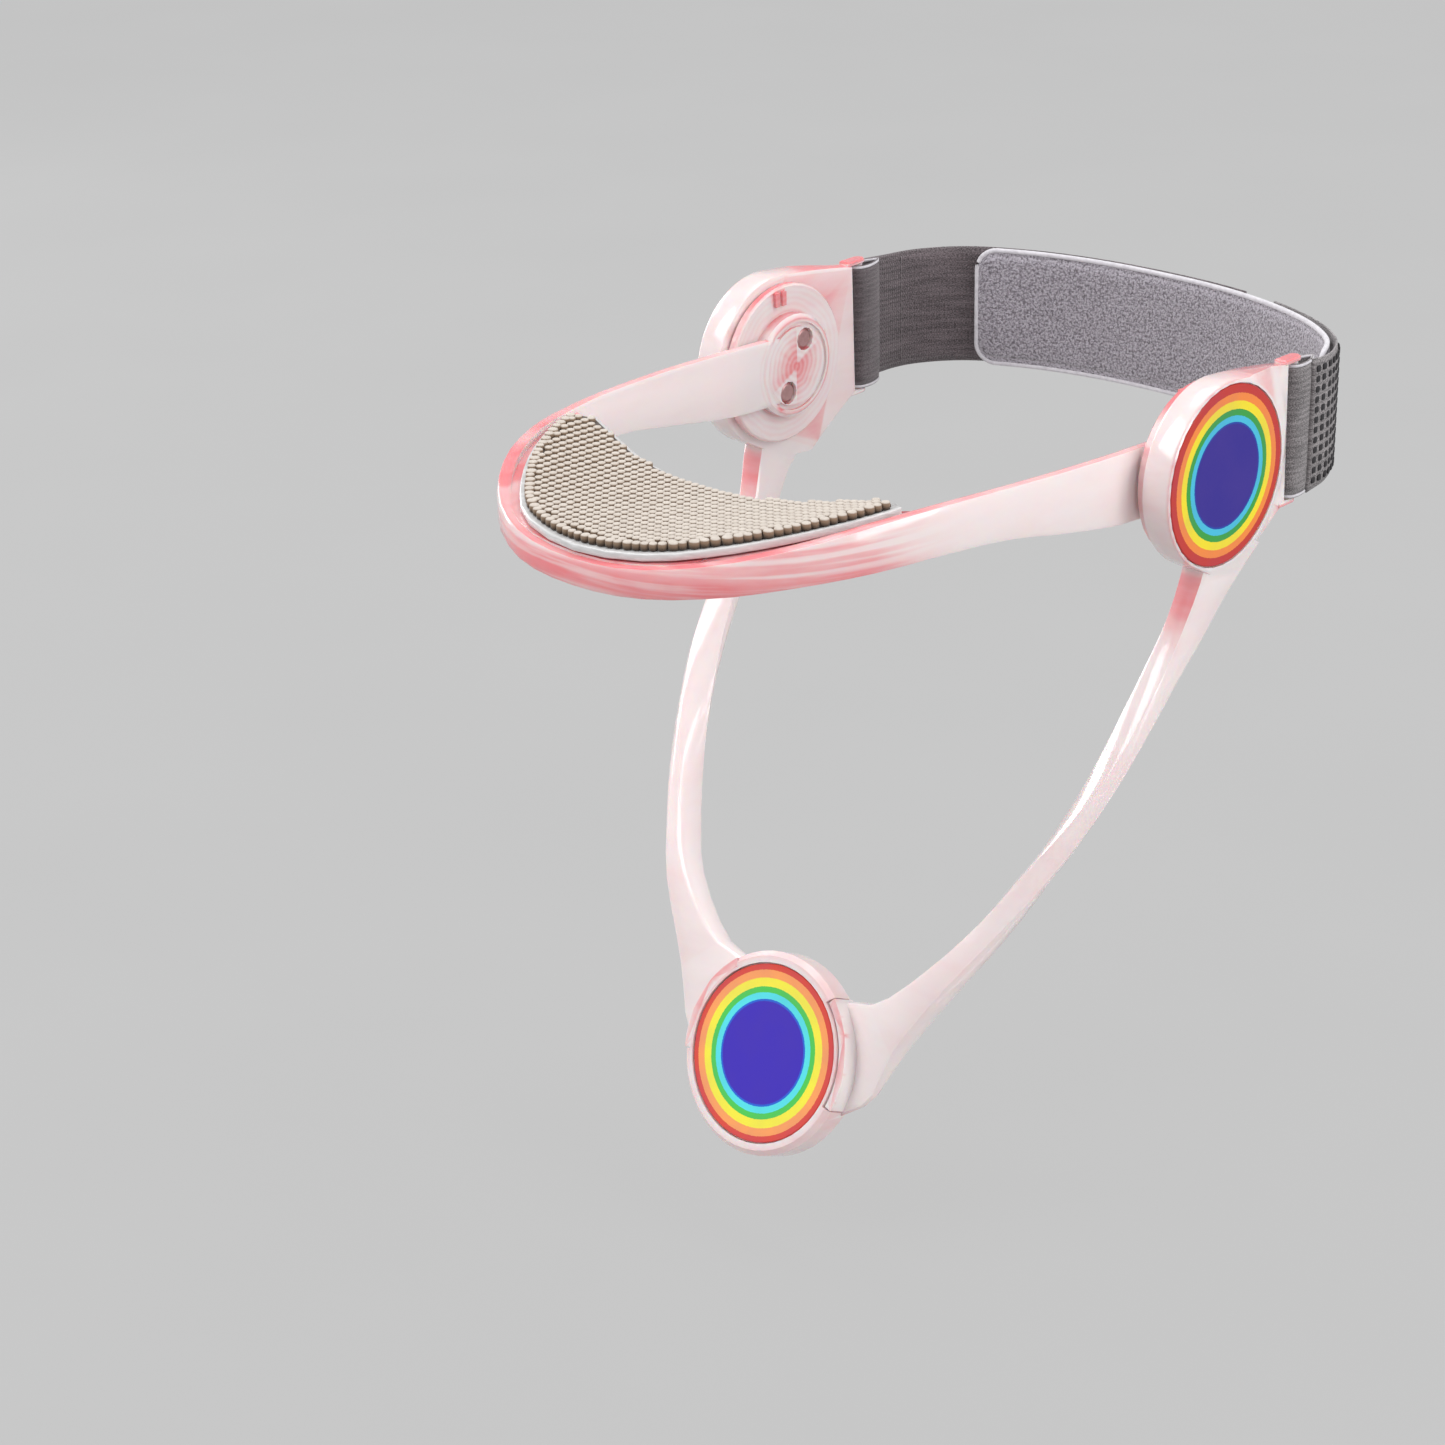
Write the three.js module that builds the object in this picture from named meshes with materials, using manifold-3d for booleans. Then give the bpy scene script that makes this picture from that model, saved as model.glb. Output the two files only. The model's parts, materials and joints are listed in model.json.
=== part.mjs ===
// Chin-rest neck support: a tilting chin yoke, two side hubs on twisted legs that meet at a
// chest disc, and a two-part strap that closes behind the neck.
// Millimetres, +Z up, chin toward -Y, strap toward +Y. The origin lies on the hinge line of the
// yoke, midway between the two hubs.
import * as THREE from 'three';
import { mergeVertices } from 'three/addons/utils/BufferGeometryUtils.js';
import Module from 'manifold-3d';

const wasm = await Module();
wasm.setup();

// ---- Driving dimensions ----
const GAP = 0.3;
const ROUND_SIDES = 36;
const BORE_SIDES = 12;
const LABEL_SIDES = 48;

const HUB_OUTER_X = 68.6;
const HUB_INNER_X = 61.5;
const HUB_RADIUS = 21;
const HUB_FLOOR = 2;
const REAR_EDGE_X = 64.7;
const REAR_SLOPE = 6.8;
const POCKET_RADIUS = 16.8;
const LABEL_RADIUS = 20;
const CHEST_LABEL_RADIUS = 20.4;
const LABEL_THICK = 0.8;
const LABEL_RECESS = LABEL_THICK + GAP;

const ROTOR_RADIUS = 19.3;
const ROTOR_THICK = 2.3;
const BOSS_RADIUS = 12.5;
const BOSS_INNER_X = 55.6;
const BOSS_GROOVE = [9.6, 10.7];
const BOSS_GROOVE_DEPTH = 0.7;
const CLIP_PLACE = [-2.4, 16.4];
const SPIGOT_RADIUS = 9;
const RETAINER_RADIUS = 14;
const RETAINER_THICK = 2;

const TILT_UP = 30;
const TILT_DOWN = 40;
const STOP_PIN_RADIUS = 1.1;
const STOP_PIN_ANGLE = 98;
const STOP_PIN_REACH = 16.9;
const STOP_PLAY = 4;
const STOP_GROOVE = 1.3;
const STOP_PIN_SEAT = 1.2;

const SCREW_RADIUS = 1.4;
const SCREW_HOLE = SCREW_RADIUS + GAP;
const SCREW_HEAD_RADIUS = 2.5;
const SCREW_HEAD_THICK = 1.3;
const HUB_SCREWS = [[3, 6], [-3, -6]];

const CHEST = new THREE.Vector3(0, -75.4, -134.1);
const CHEST_LEAN = THREE.MathUtils.degToRad(25.4);
const CHEST_RADIUS = 23.4;
const SHOULDER_INNER = 21.6;
const CUP_FACE = 4.6;
const CUP_WALL = 2;
const TONGUE_THICK = 2.5;
const TONGUE_TOP = -CUP_FACE - GAP;
const CUP_BOTTOM = TONGUE_TOP - TONGUE_THICK;
const TONGUE_MID = TONGUE_TOP - TONGUE_THICK / 2;
const BACK_PLATE_TOP = CUP_BOTTOM - GAP;
const BACK_PLATE_THICK = 2.6;
const CHEST_PAD_TOP = BACK_PLATE_TOP - BACK_PLATE_THICK - GAP;
const CHEST_PAD_THICK = 4.5;
const BACK_PLATE_RADIUS = 21.5;
const CHEST_PAD_RADIUS = 18.5;
const CHEST_SCREW = [13.5, 1.5];

const PAD_RISE = 0.0027;
const PAD_BASE = 4.5;
const PAD_HEIGHT = 1.9;
const RIM_THICK = 1.7;
const RIM_MARGIN = 1.6;
const TRAY_THICK = 2;

const BAR = { x: 63.4, y: 31, radius: 1.1 };
const STRAP_MID_Z = 1.5;
const STRAP_HEIGHT = 29.4;
const LOOP_HEIGHT = 31;
const STRAP_THICK = 1.3;
const PANEL_THICK = 2.2;
const LUG_HALF = 1.6;
const LOOP_WALL = 0.9;
const LOOP_RADIUS = 2.1;
const LOOP_LENGTH = 7.4;

// ---- Solid helpers ----
function toSolid(geometry) {
  const bare = geometry.clone();
  bare.deleteAttribute('normal');
  bare.deleteAttribute('uv');
  const merged = mergeVertices(bare, 1e-4);
  const source = merged.index.array;
  const kept = [];
  for (let i = 0; i < source.length; i += 3) {
    const [a, b, c] = source.slice(i, i + 3);
    if (a !== b && b !== c && c !== a) kept.push(a, b, c);
  }
  if (signedVolume(merged.attributes.position, kept) < 0) kept.reverse();
  return new wasm.Manifold(new wasm.Mesh({
    numProp: 3,
    vertProperties: new Float32Array(merged.attributes.position.array),
    triVerts: new Uint32Array(kept),
  }));
}

function signedVolume(position, triangles) {
  const [a, b, c] = [new THREE.Vector3(), new THREE.Vector3(), new THREE.Vector3()];
  let total = 0;
  for (let i = 0; i < triangles.length; i += 3) {
    a.fromBufferAttribute(position, triangles[i]);
    b.fromBufferAttribute(position, triangles[i + 1]);
    c.fromBufferAttribute(position, triangles[i + 2]);
    total += a.dot(b.cross(c));
  }
  return total / 6;
}

function toGeometry(solid) {
  const mesh = solid.getMesh();
  const geometry = new THREE.BufferGeometry();
  geometry.setAttribute('position', new THREE.BufferAttribute(mesh.vertProperties, 3));
  geometry.setIndex(new THREE.BufferAttribute(mesh.triVerts, 1));
  geometry.computeVertexNormals();
  return geometry;
}

function joined(...geometries) {
  return geometries.map(toSolid).reduce((sum, next) => sum.add(next));
}

function without(solid, ...geometries) {
  return geometries.map(toSolid).reduce((rest, next) => rest.subtract(next), solid);
}

function mirrored(solid) {
  const geometry = toGeometry(solid);
  geometry.applyMatrix4(new THREE.Matrix4().makeScale(-1, 1, 1));
  return toSolid(geometry);
}

// A turned solid about the X axis. Its profile lists [x, radius] pairs between two axis ends.
function turned(profile, y = 0, z = 0, sides = ROUND_SIDES) {
  const points = [
    new THREE.Vector2(0, profile[0][0]),
    ...profile.map(([x, radius]) => new THREE.Vector2(radius, x)),
    new THREE.Vector2(0, profile.at(-1)[0]),
  ];
  return new THREE.LatheGeometry(points, sides).rotateZ(-Math.PI / 2).translate(0, y, z);
}

// The profile of a disc with softened edges, between two heights on its axis.
function discProfile(radius, from, to, edge) {
  return [[from, radius - edge], [from + edge, radius], [to - edge, radius], [to, radius - edge]];
}

function discAlongX(radius, from, to, edge = 0.5, sides = ROUND_SIDES) {
  return turned(discProfile(radius, from, to, edge), 0, 0, sides);
}

function rodAlongX(radius, from, to, y = 0, z = 0, sides = BORE_SIDES) {
  return turned([[from, radius], [to, radius]], y, z, sides);
}

// An outline drawn in the (y, z) plane, pushed along X.
function plateAlongX(shape, from, to, bevel = 0) {
  const options = {
    depth: to - from - 2 * bevel,
    bevelEnabled: bevel > 0,
    bevelThickness: bevel,
    bevelSize: bevel,
    bevelOffset: -bevel,
    bevelSegments: 2,
    curveSegments: ROUND_SIDES / 2,
  };
  const turn = new THREE.Matrix4().makeBasis(
    new THREE.Vector3(0, 1, 0),
    new THREE.Vector3(0, 0, 1),
    new THREE.Vector3(1, 0, 0),
  );
  return new THREE.ExtrudeGeometry(shape, options)
    .translate(0, 0, bevel)
    .applyMatrix4(turn)
    .translate(from, 0, 0);
}

// An outline drawn in plan, pushed upward from one height to another.
function plateUpward(shape, from, to, bevel = 0, curveSegments = 12) {
  const options = {
    depth: to - from - 2 * bevel,
    bevelEnabled: bevel > 0,
    bevelThickness: bevel,
    bevelSize: bevel,
    bevelOffset: -bevel,
    bevelSegments: 1,
    curveSegments,
  };
  return new THREE.ExtrudeGeometry(shape, options).translate(0, 0, from + bevel);
}

// ---- Rounded-rectangle section carried along a path ----
const CORNER_POINTS = 3;
const SECTION_POINTS = 4 * CORNER_POINTS;

function sectionPoint(index, halfWidth, halfHeight, corner) {
  const quadrant = Math.floor(index / CORNER_POINTS);
  const turn = (quadrant + (index % CORNER_POINTS) / (CORNER_POINTS - 1)) * Math.PI / 2;
  const signs = [[1, 1], [-1, 1], [-1, -1], [1, -1]][quadrant];
  return [
    signs[0] * (halfWidth - corner) + corner * Math.cos(turn),
    signs[1] * (halfHeight - corner) + corner * Math.sin(turn),
  ];
}

// stationAt(t) gives the centre, two section directions, half sizes and corner radius.
function sweep(steps, stationAt) {
  const geometry = new THREE.CylinderGeometry(1, 1, 1, SECTION_POINTS, steps);
  const position = geometry.attributes.position;
  for (let i = 0; i < position.count; i += 1) {
    const [x, y, z] = [position.getX(i), position.getY(i), position.getZ(i)];
    const station = stationAt(THREE.MathUtils.clamp(y + 0.5, 0, 1));
    const point = station.centre.clone();
    if (Math.hypot(x, z) > 0.5) {
      const angle = (Math.atan2(x, z) + 2 * Math.PI) % (2 * Math.PI);
      const index = Math.round(angle / (2 * Math.PI) * SECTION_POINTS) % SECTION_POINTS;
      const [across, upward] = sectionPoint(index, station.halfWidth, station.halfHeight, station.corner);
      point.addScaledVector(station.across, across).addScaledVector(station.upward, upward);
    }
    position.setXYZ(i, point.x, point.y, point.z);
  }
  return geometry;
}

// Smooth interpolation of rows of numbers, evenly spaced in t.
function rowAt(rows, t) {
  const place = t * (rows.length - 1);
  const i = Math.min(Math.floor(place), rows.length - 2);
  const row = (k) => rows[THREE.MathUtils.clamp(k, 0, rows.length - 1)];
  const s = place - i;
  return rows[0].map((_, column) => {
    const [a, b, c, d] = [row(i - 1)[column], row(i)[column], row(i + 1)[column], row(i + 2)[column]];
    return b + 0.5 * s * (c - a + s * (2 * a - 5 * b + 4 * c - d + s * (3 * (b - c) + d - a)));
  });
}

// ---- Chest frame ----
const CHEST_TURN = new THREE.Matrix4()
  .makeRotationX(Math.PI / 2 - CHEST_LEAN)
  .setPosition(CHEST);

function onChest(across, up, forward) {
  return new THREE.Vector3(across, up, forward).applyMatrix4(CHEST_TURN);
}

const CHEST_NORMAL = new THREE.Vector3(0, 0, 1).transformDirection(CHEST_TURN);

// A turned solid whose axis is the chest normal, at a place on the chest face.
function turnedOnChest(profile, across = 0, up = 0, sides = BORE_SIDES) {
  return turned(profile, 0, 0, sides)
    .rotateY(-Math.PI / 2)
    .translate(across, up, 0)
    .applyMatrix4(CHEST_TURN);
}

function chestDisc(radius, bottom, top, edge = 0.5, sides = ROUND_SIDES) {
  return turnedOnChest(discProfile(radius, bottom, top, edge), 0, 0, sides);
}

function chestRod(radius, bottom, top, across, up) {
  return turnedOnChest([[bottom, radius], [top, radius]], across, up);
}

// ---- Leg: hub housing, strap bar and twisted leg in one moulding ----
function housingOutline() {
  const legStart = THREE.MathUtils.degToRad(238);
  const shape = new THREE.Shape();
  shape.moveTo(0, HUB_RADIUS);
  shape.absarc(0, 0, HUB_RADIUS, Math.PI / 2, legStart, false);
  shape.lineTo(2, -25);
  shape.lineTo(11.5, -25.6);
  shape.quadraticCurveTo(20, -19.4, 28, -14.4);
  shape.lineTo(27.2, 17.4);
  shape.quadraticCurveTo(13, 20.2, 0, HUB_RADIUS);
  return shape;
}

// What is trimmed off the housing outside the drum: the rear plate slopes down to a thin edge.
function rearSlope() {
  const thinX = REAR_EDGE_X;
  const wide = 60;
  const room = toSolid(rodAlongX(wide, thinX, HUB_OUTER_X + 1, 0, 0, ROUND_SIDES));
  return without(room, turned([
    [thinX - 1, HUB_RADIUS + REAR_SLOPE],
    [thinX, HUB_RADIUS + REAR_SLOPE],
    [HUB_OUTER_X, HUB_RADIUS],
    [HUB_OUTER_X + 2, HUB_RADIUS],
  ]));
}

// Leg path rows: x, y, z, width and thickness, from the hub down to the chest disc.
function legRows(tipShift) {
  const flare = onChest(29.4, 16.6, -5.2);
  const edge = onChest(20, 7.2, TONGUE_MID);
  const tip = onChest(12 - tipShift, -2.4 - tipShift, TONGUE_MID);
  return [
    [65.05, 5.4, -14, 21, 6.9],
    [64.8, -0.6, -24, 13, 6.4],
    [63.5, -6.2, -34.6, 9.4, 5.8],
    [62.6, -12.3, -42.6, 6.6, 6.4],
    [61.7, -18.8, -51, 5, 7.2],
    [59.9, -28.1, -63.3, 4.5, 7.8],
    [56.7, -36.5, -75.1, 5.2, 7.6],
    [52.1, -44.5, -86.5, 5.7, 7.4],
    [46.8, -51.4, -97.2, 5.6, 7.6],
    [39.8, -58.6, -108.2, 7, 7.4],
    [...flare.toArray(), 12, 6.2],
    [...edge.toArray(), 24.5, TONGUE_THICK],
    [...tip.toArray(), 20, TONGUE_THICK],
  ];
}

// A margin makes the roomier copy that cuts the slot for the tongue.
function legSweep(margin = 0) {
  const rows = legRows(margin);
  const outward = new THREE.Vector3(1, 0, 0);
  const pointAt = (t) => new THREE.Vector3(...rowAt(rows, t));
  return sweep(32, (t) => {
    const [x, y, z, width, thick] = rowAt(rows, t);
    const tangent = pointAt(Math.min(t + 0.01, 1)).sub(pointAt(Math.max(t - 0.01, 0))).normalize();
    const twist = THREE.MathUtils.smoothstep(t, 0.15, 0.85);
    const facing = outward.clone().lerp(CHEST_NORMAL, twist).normalize();
    const across = facing.clone().cross(tangent).normalize();
    const through = tangent.clone().cross(across);
    return {
      centre: new THREE.Vector3(x, y, z),
      across,
      upward: through,
      halfWidth: width / 2 + margin,
      halfHeight: thick / 2 + margin,
      corner: Math.min(thick / 2 - 0.05, 1.5),
    };
  });
}

// The curved shoulder at the end of the leg, which laps into the flank of the chest cup.
function shoulder(margin = 0) {
  const turn = margin / CHEST_RADIUS;
  const [from, to] = [THREE.MathUtils.degToRad(-15) - turn, THREE.MathUtils.degToRad(50) + turn];
  const shape = new THREE.Shape();
  shape.absarc(0, 0, CHEST_RADIUS + margin, from, to, false);
  shape.absarc(0, 0, SHOULDER_INNER - margin, to, from, true);
  const [bottom, top] = [CUP_BOTTOM + 0.2 - 2 * margin, -0.3 + 3 * margin];
  return new THREE.ExtrudeGeometry(shape, { depth: top - bottom, bevelEnabled: false, curveSegments: 12 })
    .translate(0, 0, bottom)
    .applyMatrix4(CHEST_TURN);
}

function strapBar() {
  const halfSpan = LOOP_HEIGHT / 2 + GAP;
  const lugHeight = 1.2;
  const pieces = [
    new THREE.CylinderGeometry(BAR.radius, BAR.radius, 2 * halfSpan + lugHeight, 16)
      .rotateX(Math.PI / 2)
      .translate(BAR.x, BAR.y, STRAP_MID_Z),
  ];
  for (const side of [-1, 1]) {
    const middle = STRAP_MID_Z + side * (halfSpan + lugHeight / 2);
    const shape = new THREE.Shape();
    shape.moveTo(BAR.x - LUG_HALF, BAR.y - 5);
    shape.lineTo(BAR.x + LUG_HALF, BAR.y - 5);
    shape.lineTo(BAR.x + LUG_HALF, BAR.y);
    shape.absarc(BAR.x, BAR.y, LUG_HALF, 0, Math.PI, false);
    shape.closePath();
    pieces.push(plateUpward(shape, middle - lugHeight / 2, middle + lugHeight / 2, 0.3, 6));
  }
  return pieces;
}

function stopPinPlace() {
  const angle = THREE.MathUtils.degToRad(STOP_PIN_ANGLE);
  return [STOP_PIN_REACH * Math.cos(angle), STOP_PIN_REACH * Math.sin(angle)];
}

function rightLeg() {
  const pocketTop = HUB_OUTER_X - LABEL_RECESS;
  const pocketFloor = HUB_INNER_X + HUB_FLOOR;
  const housing = toSolid(plateAlongX(housingOutline(), HUB_INNER_X, HUB_OUTER_X, 0.8)).subtract(rearSlope());
  return without(
    housing.add(joined(legSweep(), shoulder(), ...strapBar())),
    rodAlongX(LABEL_RADIUS + GAP, pocketTop, HUB_OUTER_X + 1, 0, 0, ROUND_SIDES),
    rodAlongX(POCKET_RADIUS, pocketFloor, pocketTop + 1, 0, 0, ROUND_SIDES),
    rodAlongX(SPIGOT_RADIUS + GAP, HUB_INNER_X - 1, pocketFloor + 1, 0, 0, ROUND_SIDES),
    rodAlongX(STOP_PIN_RADIUS + GAP, HUB_INNER_X - 1, HUB_INNER_X + STOP_PIN_SEAT + GAP, ...stopPinPlace()),
    chestRod(SCREW_HOLE, CUP_BOTTOM - 1, TONGUE_TOP + 1, ...CHEST_SCREW),
  );
}

// ---- Chin yoke: hub rotors, arms and pad tray in one moulding ----
// Rows run from the right hub to the chin: x, y, top edge, bottom edge, thickness.
const ARM_ROWS = [
  [56.9, -2, 8.2, -8.4, 2.6],
  [56.9, -21, 8.8, -7.8, 2.6],
  [56.3, -40, 9.6, -4.8, 2.6],
  [54.6, -58, 10.2, -1.6, 2.6],
  [52.2, -74, 10.5, -0.6, 2.8],
  [48.3, -91, 10, -0.5, 3.2],
  [41.8, -105.2, 8, -0.9, 3.4],
  [30.8, -117.5, 5.2, -2.4, 3.4],
  [16.2, -125.2, 2.9, -3.9, 3.4],
  [0, -127.1, 2, -4.5, 3.4],
];

function armSweep() {
  const leftRows = ARM_ROWS.slice(0, -1).reverse().map(([x, ...rest]) => [-x, ...rest]);
  const rows = [...ARM_ROWS, ...leftRows];
  return sweep(50, (t) => {
    const [x, y, top, bottom, thick] = rowAt(rows, t);
    const [xBefore, yBefore] = rowAt(rows, Math.max(t - 0.004, 0));
    const [xAfter, yAfter] = rowAt(rows, Math.min(t + 0.004, 1));
    const along = new THREE.Vector3(xAfter - xBefore, yAfter - yBefore, 0).normalize();
    const upward = new THREE.Vector3(0, 0, 1);
    return {
      centre: new THREE.Vector3(x, y, (top + bottom) / 2),
      across: along.clone().cross(upward).negate(),
      upward,
      halfWidth: thick / 2,
      halfHeight: (top - bottom) / 2,
      corner: 1.1,
    };
  });
}

const PAD_FRONT = [[45.7, -83.1], [43.1, -91.3], [36.9, -102.8], [28.4, -113.2], [18, -121.9], [0, -126.1]];
const PAD_BACK = [[41.8, -80.4], [34.6, -82.4], [20.6, -86.4], [0, -87.7]];
const TRAY_FRONT = [[51.2, -80], [48.3, -91], [41.8, -105.2], [30.8, -117.5], [16.2, -125.2], [0, -127.1]];

function curveThrough(rightHalf) {
  const right = rightHalf.map(([x, y]) => new THREE.Vector3(x, y, 0));
  const left = right.slice(0, -1).reverse().map((point) => new THREE.Vector3(-point.x, point.y, 0));
  return new THREE.CatmullRomCurve3([...right, ...left], false, 'centripetal');
}

// A crescent slab that follows the dished pad seat; heights are measured from the seat surface.
function crescentSlab(from, to, margin, front = PAD_FRONT, frontMargin = margin) {
  const geometry = new THREE.BoxGeometry(1, 1, 1, 24, 2, 1);
  const position = geometry.attributes.position;
  const [outerCurve, innerCurve] = [curveThrough(front), curveThrough(PAD_BACK)];
  for (let i = 0; i < position.count; i += 1) {
    const along = position.getX(i) + 0.5;
    const across = position.getY(i) + 0.5;
    const endShift = (2 * along - 1) * margin;
    const outer = edgePoint(outerCurve, along, frontMargin, endShift);
    const inner = edgePoint(innerCurve, along, -margin, endShift);
    const point = inner.lerp(outer, across);
    const height = position.getZ(i) > 0 ? to : from;
    position.setXYZ(i, point.x, point.y, PAD_BASE + PAD_RISE * point.x ** 2 + height);
  }
  return geometry;
}

function edgePoint(curve, along, outward, endShift) {
  const point = curve.getPoint(along);
  const tangent = curve.getTangent(along);
  const normal = new THREE.Vector3(tangent.y, -tangent.x, 0);
  return point.addScaledVector(normal, -outward).addScaledVector(tangent, endShift);
}

// A groove in the hidden face of the rotor, where the stop pin runs.
function stopGroove() {
  const from = THREE.MathUtils.degToRad(STOP_PIN_ANGLE - TILT_DOWN - STOP_PLAY);
  const to = THREE.MathUtils.degToRad(STOP_PIN_ANGLE + TILT_UP + STOP_PLAY);
  const half = STOP_PIN_RADIUS + GAP;
  const shape = new THREE.Shape();
  shape.absarc(0, 0, STOP_PIN_REACH + half, from, to, false);
  shape.absarc(0, 0, STOP_PIN_REACH - half, to, from, true);
  return plateAlongX(shape, HUB_INNER_X - GAP - STOP_GROOVE, HUB_INNER_X + 1);
}

// The rotor, its stepped boss and the spigot that passes into the housing.
function rotor() {
  const face = HUB_INNER_X - GAP;
  const body = joined(
    discAlongX(ROTOR_RADIUS, face - ROTOR_THICK, face),
    discAlongX(BOSS_RADIUS, BOSS_INNER_X, face - 1, 0.9),
    rodAlongX(SPIGOT_RADIUS, face - 1, HUB_INNER_X + HUB_FLOOR, 0, 0, ROUND_SIDES),
    ...rimClip(),
  );
  const ring = without(
    toSolid(rodAlongX(BOSS_GROOVE[1], BOSS_INNER_X - 1, BOSS_INNER_X + BOSS_GROOVE_DEPTH, 0, 0, ROUND_SIDES)),
    rodAlongX(BOSS_GROOVE[0], BOSS_INNER_X - 2, BOSS_INNER_X + 2, 0, 0, ROUND_SIDES),
  );
  return without(body.subtract(ring), stopGroove());
}

// Two small prongs that stand on the rotor near its rim.
function rimClip() {
  const inner = HUB_INNER_X - GAP - ROTOR_THICK - 0.9;
  return [-1.1, 1.1].map((shift) => new THREE.BoxGeometry(1.8, 1.3, 3.4)
    .translate(inner + 0.9, CLIP_PLACE[0] + shift, CLIP_PLACE[1]));
}

function bossHoles() {
  return joined(...HUB_SCREWS.flatMap(([y, z]) => [
    rodAlongX(SCREW_HOLE, BOSS_INNER_X - 1, HUB_OUTER_X, y, z),
    rodAlongX(SCREW_HEAD_RADIUS + GAP, BOSS_INNER_X - 1, BOSS_INNER_X + SCREW_HEAD_THICK + GAP, y, z),
  ]));
}

function chinYoke() {
  const trayTop = -RIM_THICK - GAP;
  const tray = crescentSlab(trayTop - TRAY_THICK, trayTop, RIM_MARGIN + 0.6, TRAY_FRONT, 0);
  const rimRoom = crescentSlab(trayTop, 14, RIM_MARGIN + GAP);
  const [rightRotor, holes] = [rotor(), bossHoles()];
  return without(joined(armSweep(), tray), rimRoom)
    .add(rightRotor)
    .add(mirrored(rightRotor))
    .subtract(holes)
    .subtract(mirrored(holes));
}

// ---- Fastenings ----
function screwAlongX(headX, tipX, y, z) {
  const shoulderX = headX + SCREW_HEAD_THICK;
  return toSolid(turned([
    [headX, SCREW_HEAD_RADIUS - 0.6],
    [headX + 0.5, SCREW_HEAD_RADIUS],
    [shoulderX, SCREW_HEAD_RADIUS],
    [shoulderX, SCREW_RADIUS],
    [tipX - 0.6, SCREW_RADIUS],
    [tipX, SCREW_RADIUS - 0.6],
  ], y, z, BORE_SIDES));
}

function retainer() {
  const floorX = HUB_INNER_X + HUB_FLOOR + GAP;
  const plate = toSolid(discAlongX(RETAINER_RADIUS, floorX, floorX + RETAINER_THICK, 0.4));
  return without(plate, ...HUB_SCREWS.map(([y, z]) => rodAlongX(SCREW_HOLE, floorX - 1, HUB_OUTER_X, y, z)));
}

function stopPin() {
  const [from, to] = [HUB_INNER_X - STOP_GROOVE, HUB_INNER_X + STOP_PIN_SEAT];
  return toSolid(rodAlongX(STOP_PIN_RADIUS, from, to, ...stopPinPlace()));
}

function hubLabel() {
  return toSolid(discAlongX(LABEL_RADIUS, HUB_OUTER_X - LABEL_THICK, HUB_OUTER_X, 0.2, LABEL_SIDES));
}

// ---- Chest disc ----
function chestCup() {
  const lip = 0.3;
  const body = toSolid(chestDisc(CHEST_RADIUS, CUP_BOTTOM, lip, 1.2, LABEL_SIDES));
  const labelSeat = chestDisc(CHEST_LABEL_RADIUS + GAP, -LABEL_RECESS, lip + 1, 0, LABEL_SIDES);
  const [low, high] = [CUP_BOTTOM - 1, -CUP_WALL];
  const holes = [-1, 1].map((side) => chestRod(SCREW_HOLE, low, high, side * CHEST_SCREW[0], CHEST_SCREW[1]));
  const legRoom = joined(legSweep(GAP), shoulder(GAP));
  return without(body, labelSeat, ...holes).subtract(legRoom).subtract(mirrored(legRoom));
}

function chestBackPlate() {
  const bottom = BACK_PLATE_TOP - BACK_PLATE_THICK;
  const body = toSolid(chestDisc(BACK_PLATE_RADIUS, bottom, BACK_PLATE_TOP, 0.7, LABEL_SIDES));
  const holes = [-1, 1].flatMap((side) => {
    const [across, up] = [side * CHEST_SCREW[0], CHEST_SCREW[1]];
    return [
      chestRod(SCREW_HOLE, bottom - 1, BACK_PLATE_TOP + 1, across, up),
      chestRod(SCREW_HEAD_RADIUS + GAP, bottom - 1, bottom + SCREW_HEAD_THICK + GAP, across, up),
    ];
  });
  return without(body, ...holes);
}

function chestScrew() {
  const bottom = BACK_PLATE_TOP - BACK_PLATE_THICK + GAP;
  const shoulderAt = bottom + SCREW_HEAD_THICK;
  return toSolid(turnedOnChest([
    [bottom, SCREW_HEAD_RADIUS],
    [shoulderAt, SCREW_HEAD_RADIUS],
    [shoulderAt, SCREW_RADIUS],
    [-CUP_WALL - GAP, SCREW_RADIUS],
  ], ...CHEST_SCREW));
}

// ---- Strap ----
// The neck curve in plan, from the right bar round the back to the left bar. It hangs a little
// unevenly, because the stiffer padded panel sits nearer the right side.
const NECK_POINTS = [
  [63.5, 35], [63, 42], [58.8, 51], [50, 59], [36, 66], [18, 70.8], [-2, 72.3], [-22, 71.3], [-40, 67.2],
  [-54, 60.2], [-61.5, 50.5], [-63.5, 41], [-63.5, 35],
];
const NECK_PLACES = NECK_POINTS.map(([x, y]) => new THREE.Vector3(x, y, 0));
const NECK = new THREE.CatmullRomCurve3(NECK_PLACES, false, 'centripetal');

function strapPiece(from, to, offset, thick, height, bevel = 0) {
  const steps = Math.ceil((to - from) * 56);
  const rim = (side) => Array.from({ length: steps + 1 }, (_, i) => {
    const at = from + (to - from) * i / steps;
    const tangent = NECK.getTangentAt(at);
    const point = NECK.getPointAt(at);
    const reach = offset + side * thick / 2;
    return new THREE.Vector2(point.x + tangent.y * reach, point.y - tangent.x * reach);
  });
  const shape = new THREE.Shape([...rim(-1), ...rim(1).reverse()]);
  return plateUpward(shape, STRAP_MID_Z - height / 2, STRAP_MID_Z + height / 2, bevel);
}

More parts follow.
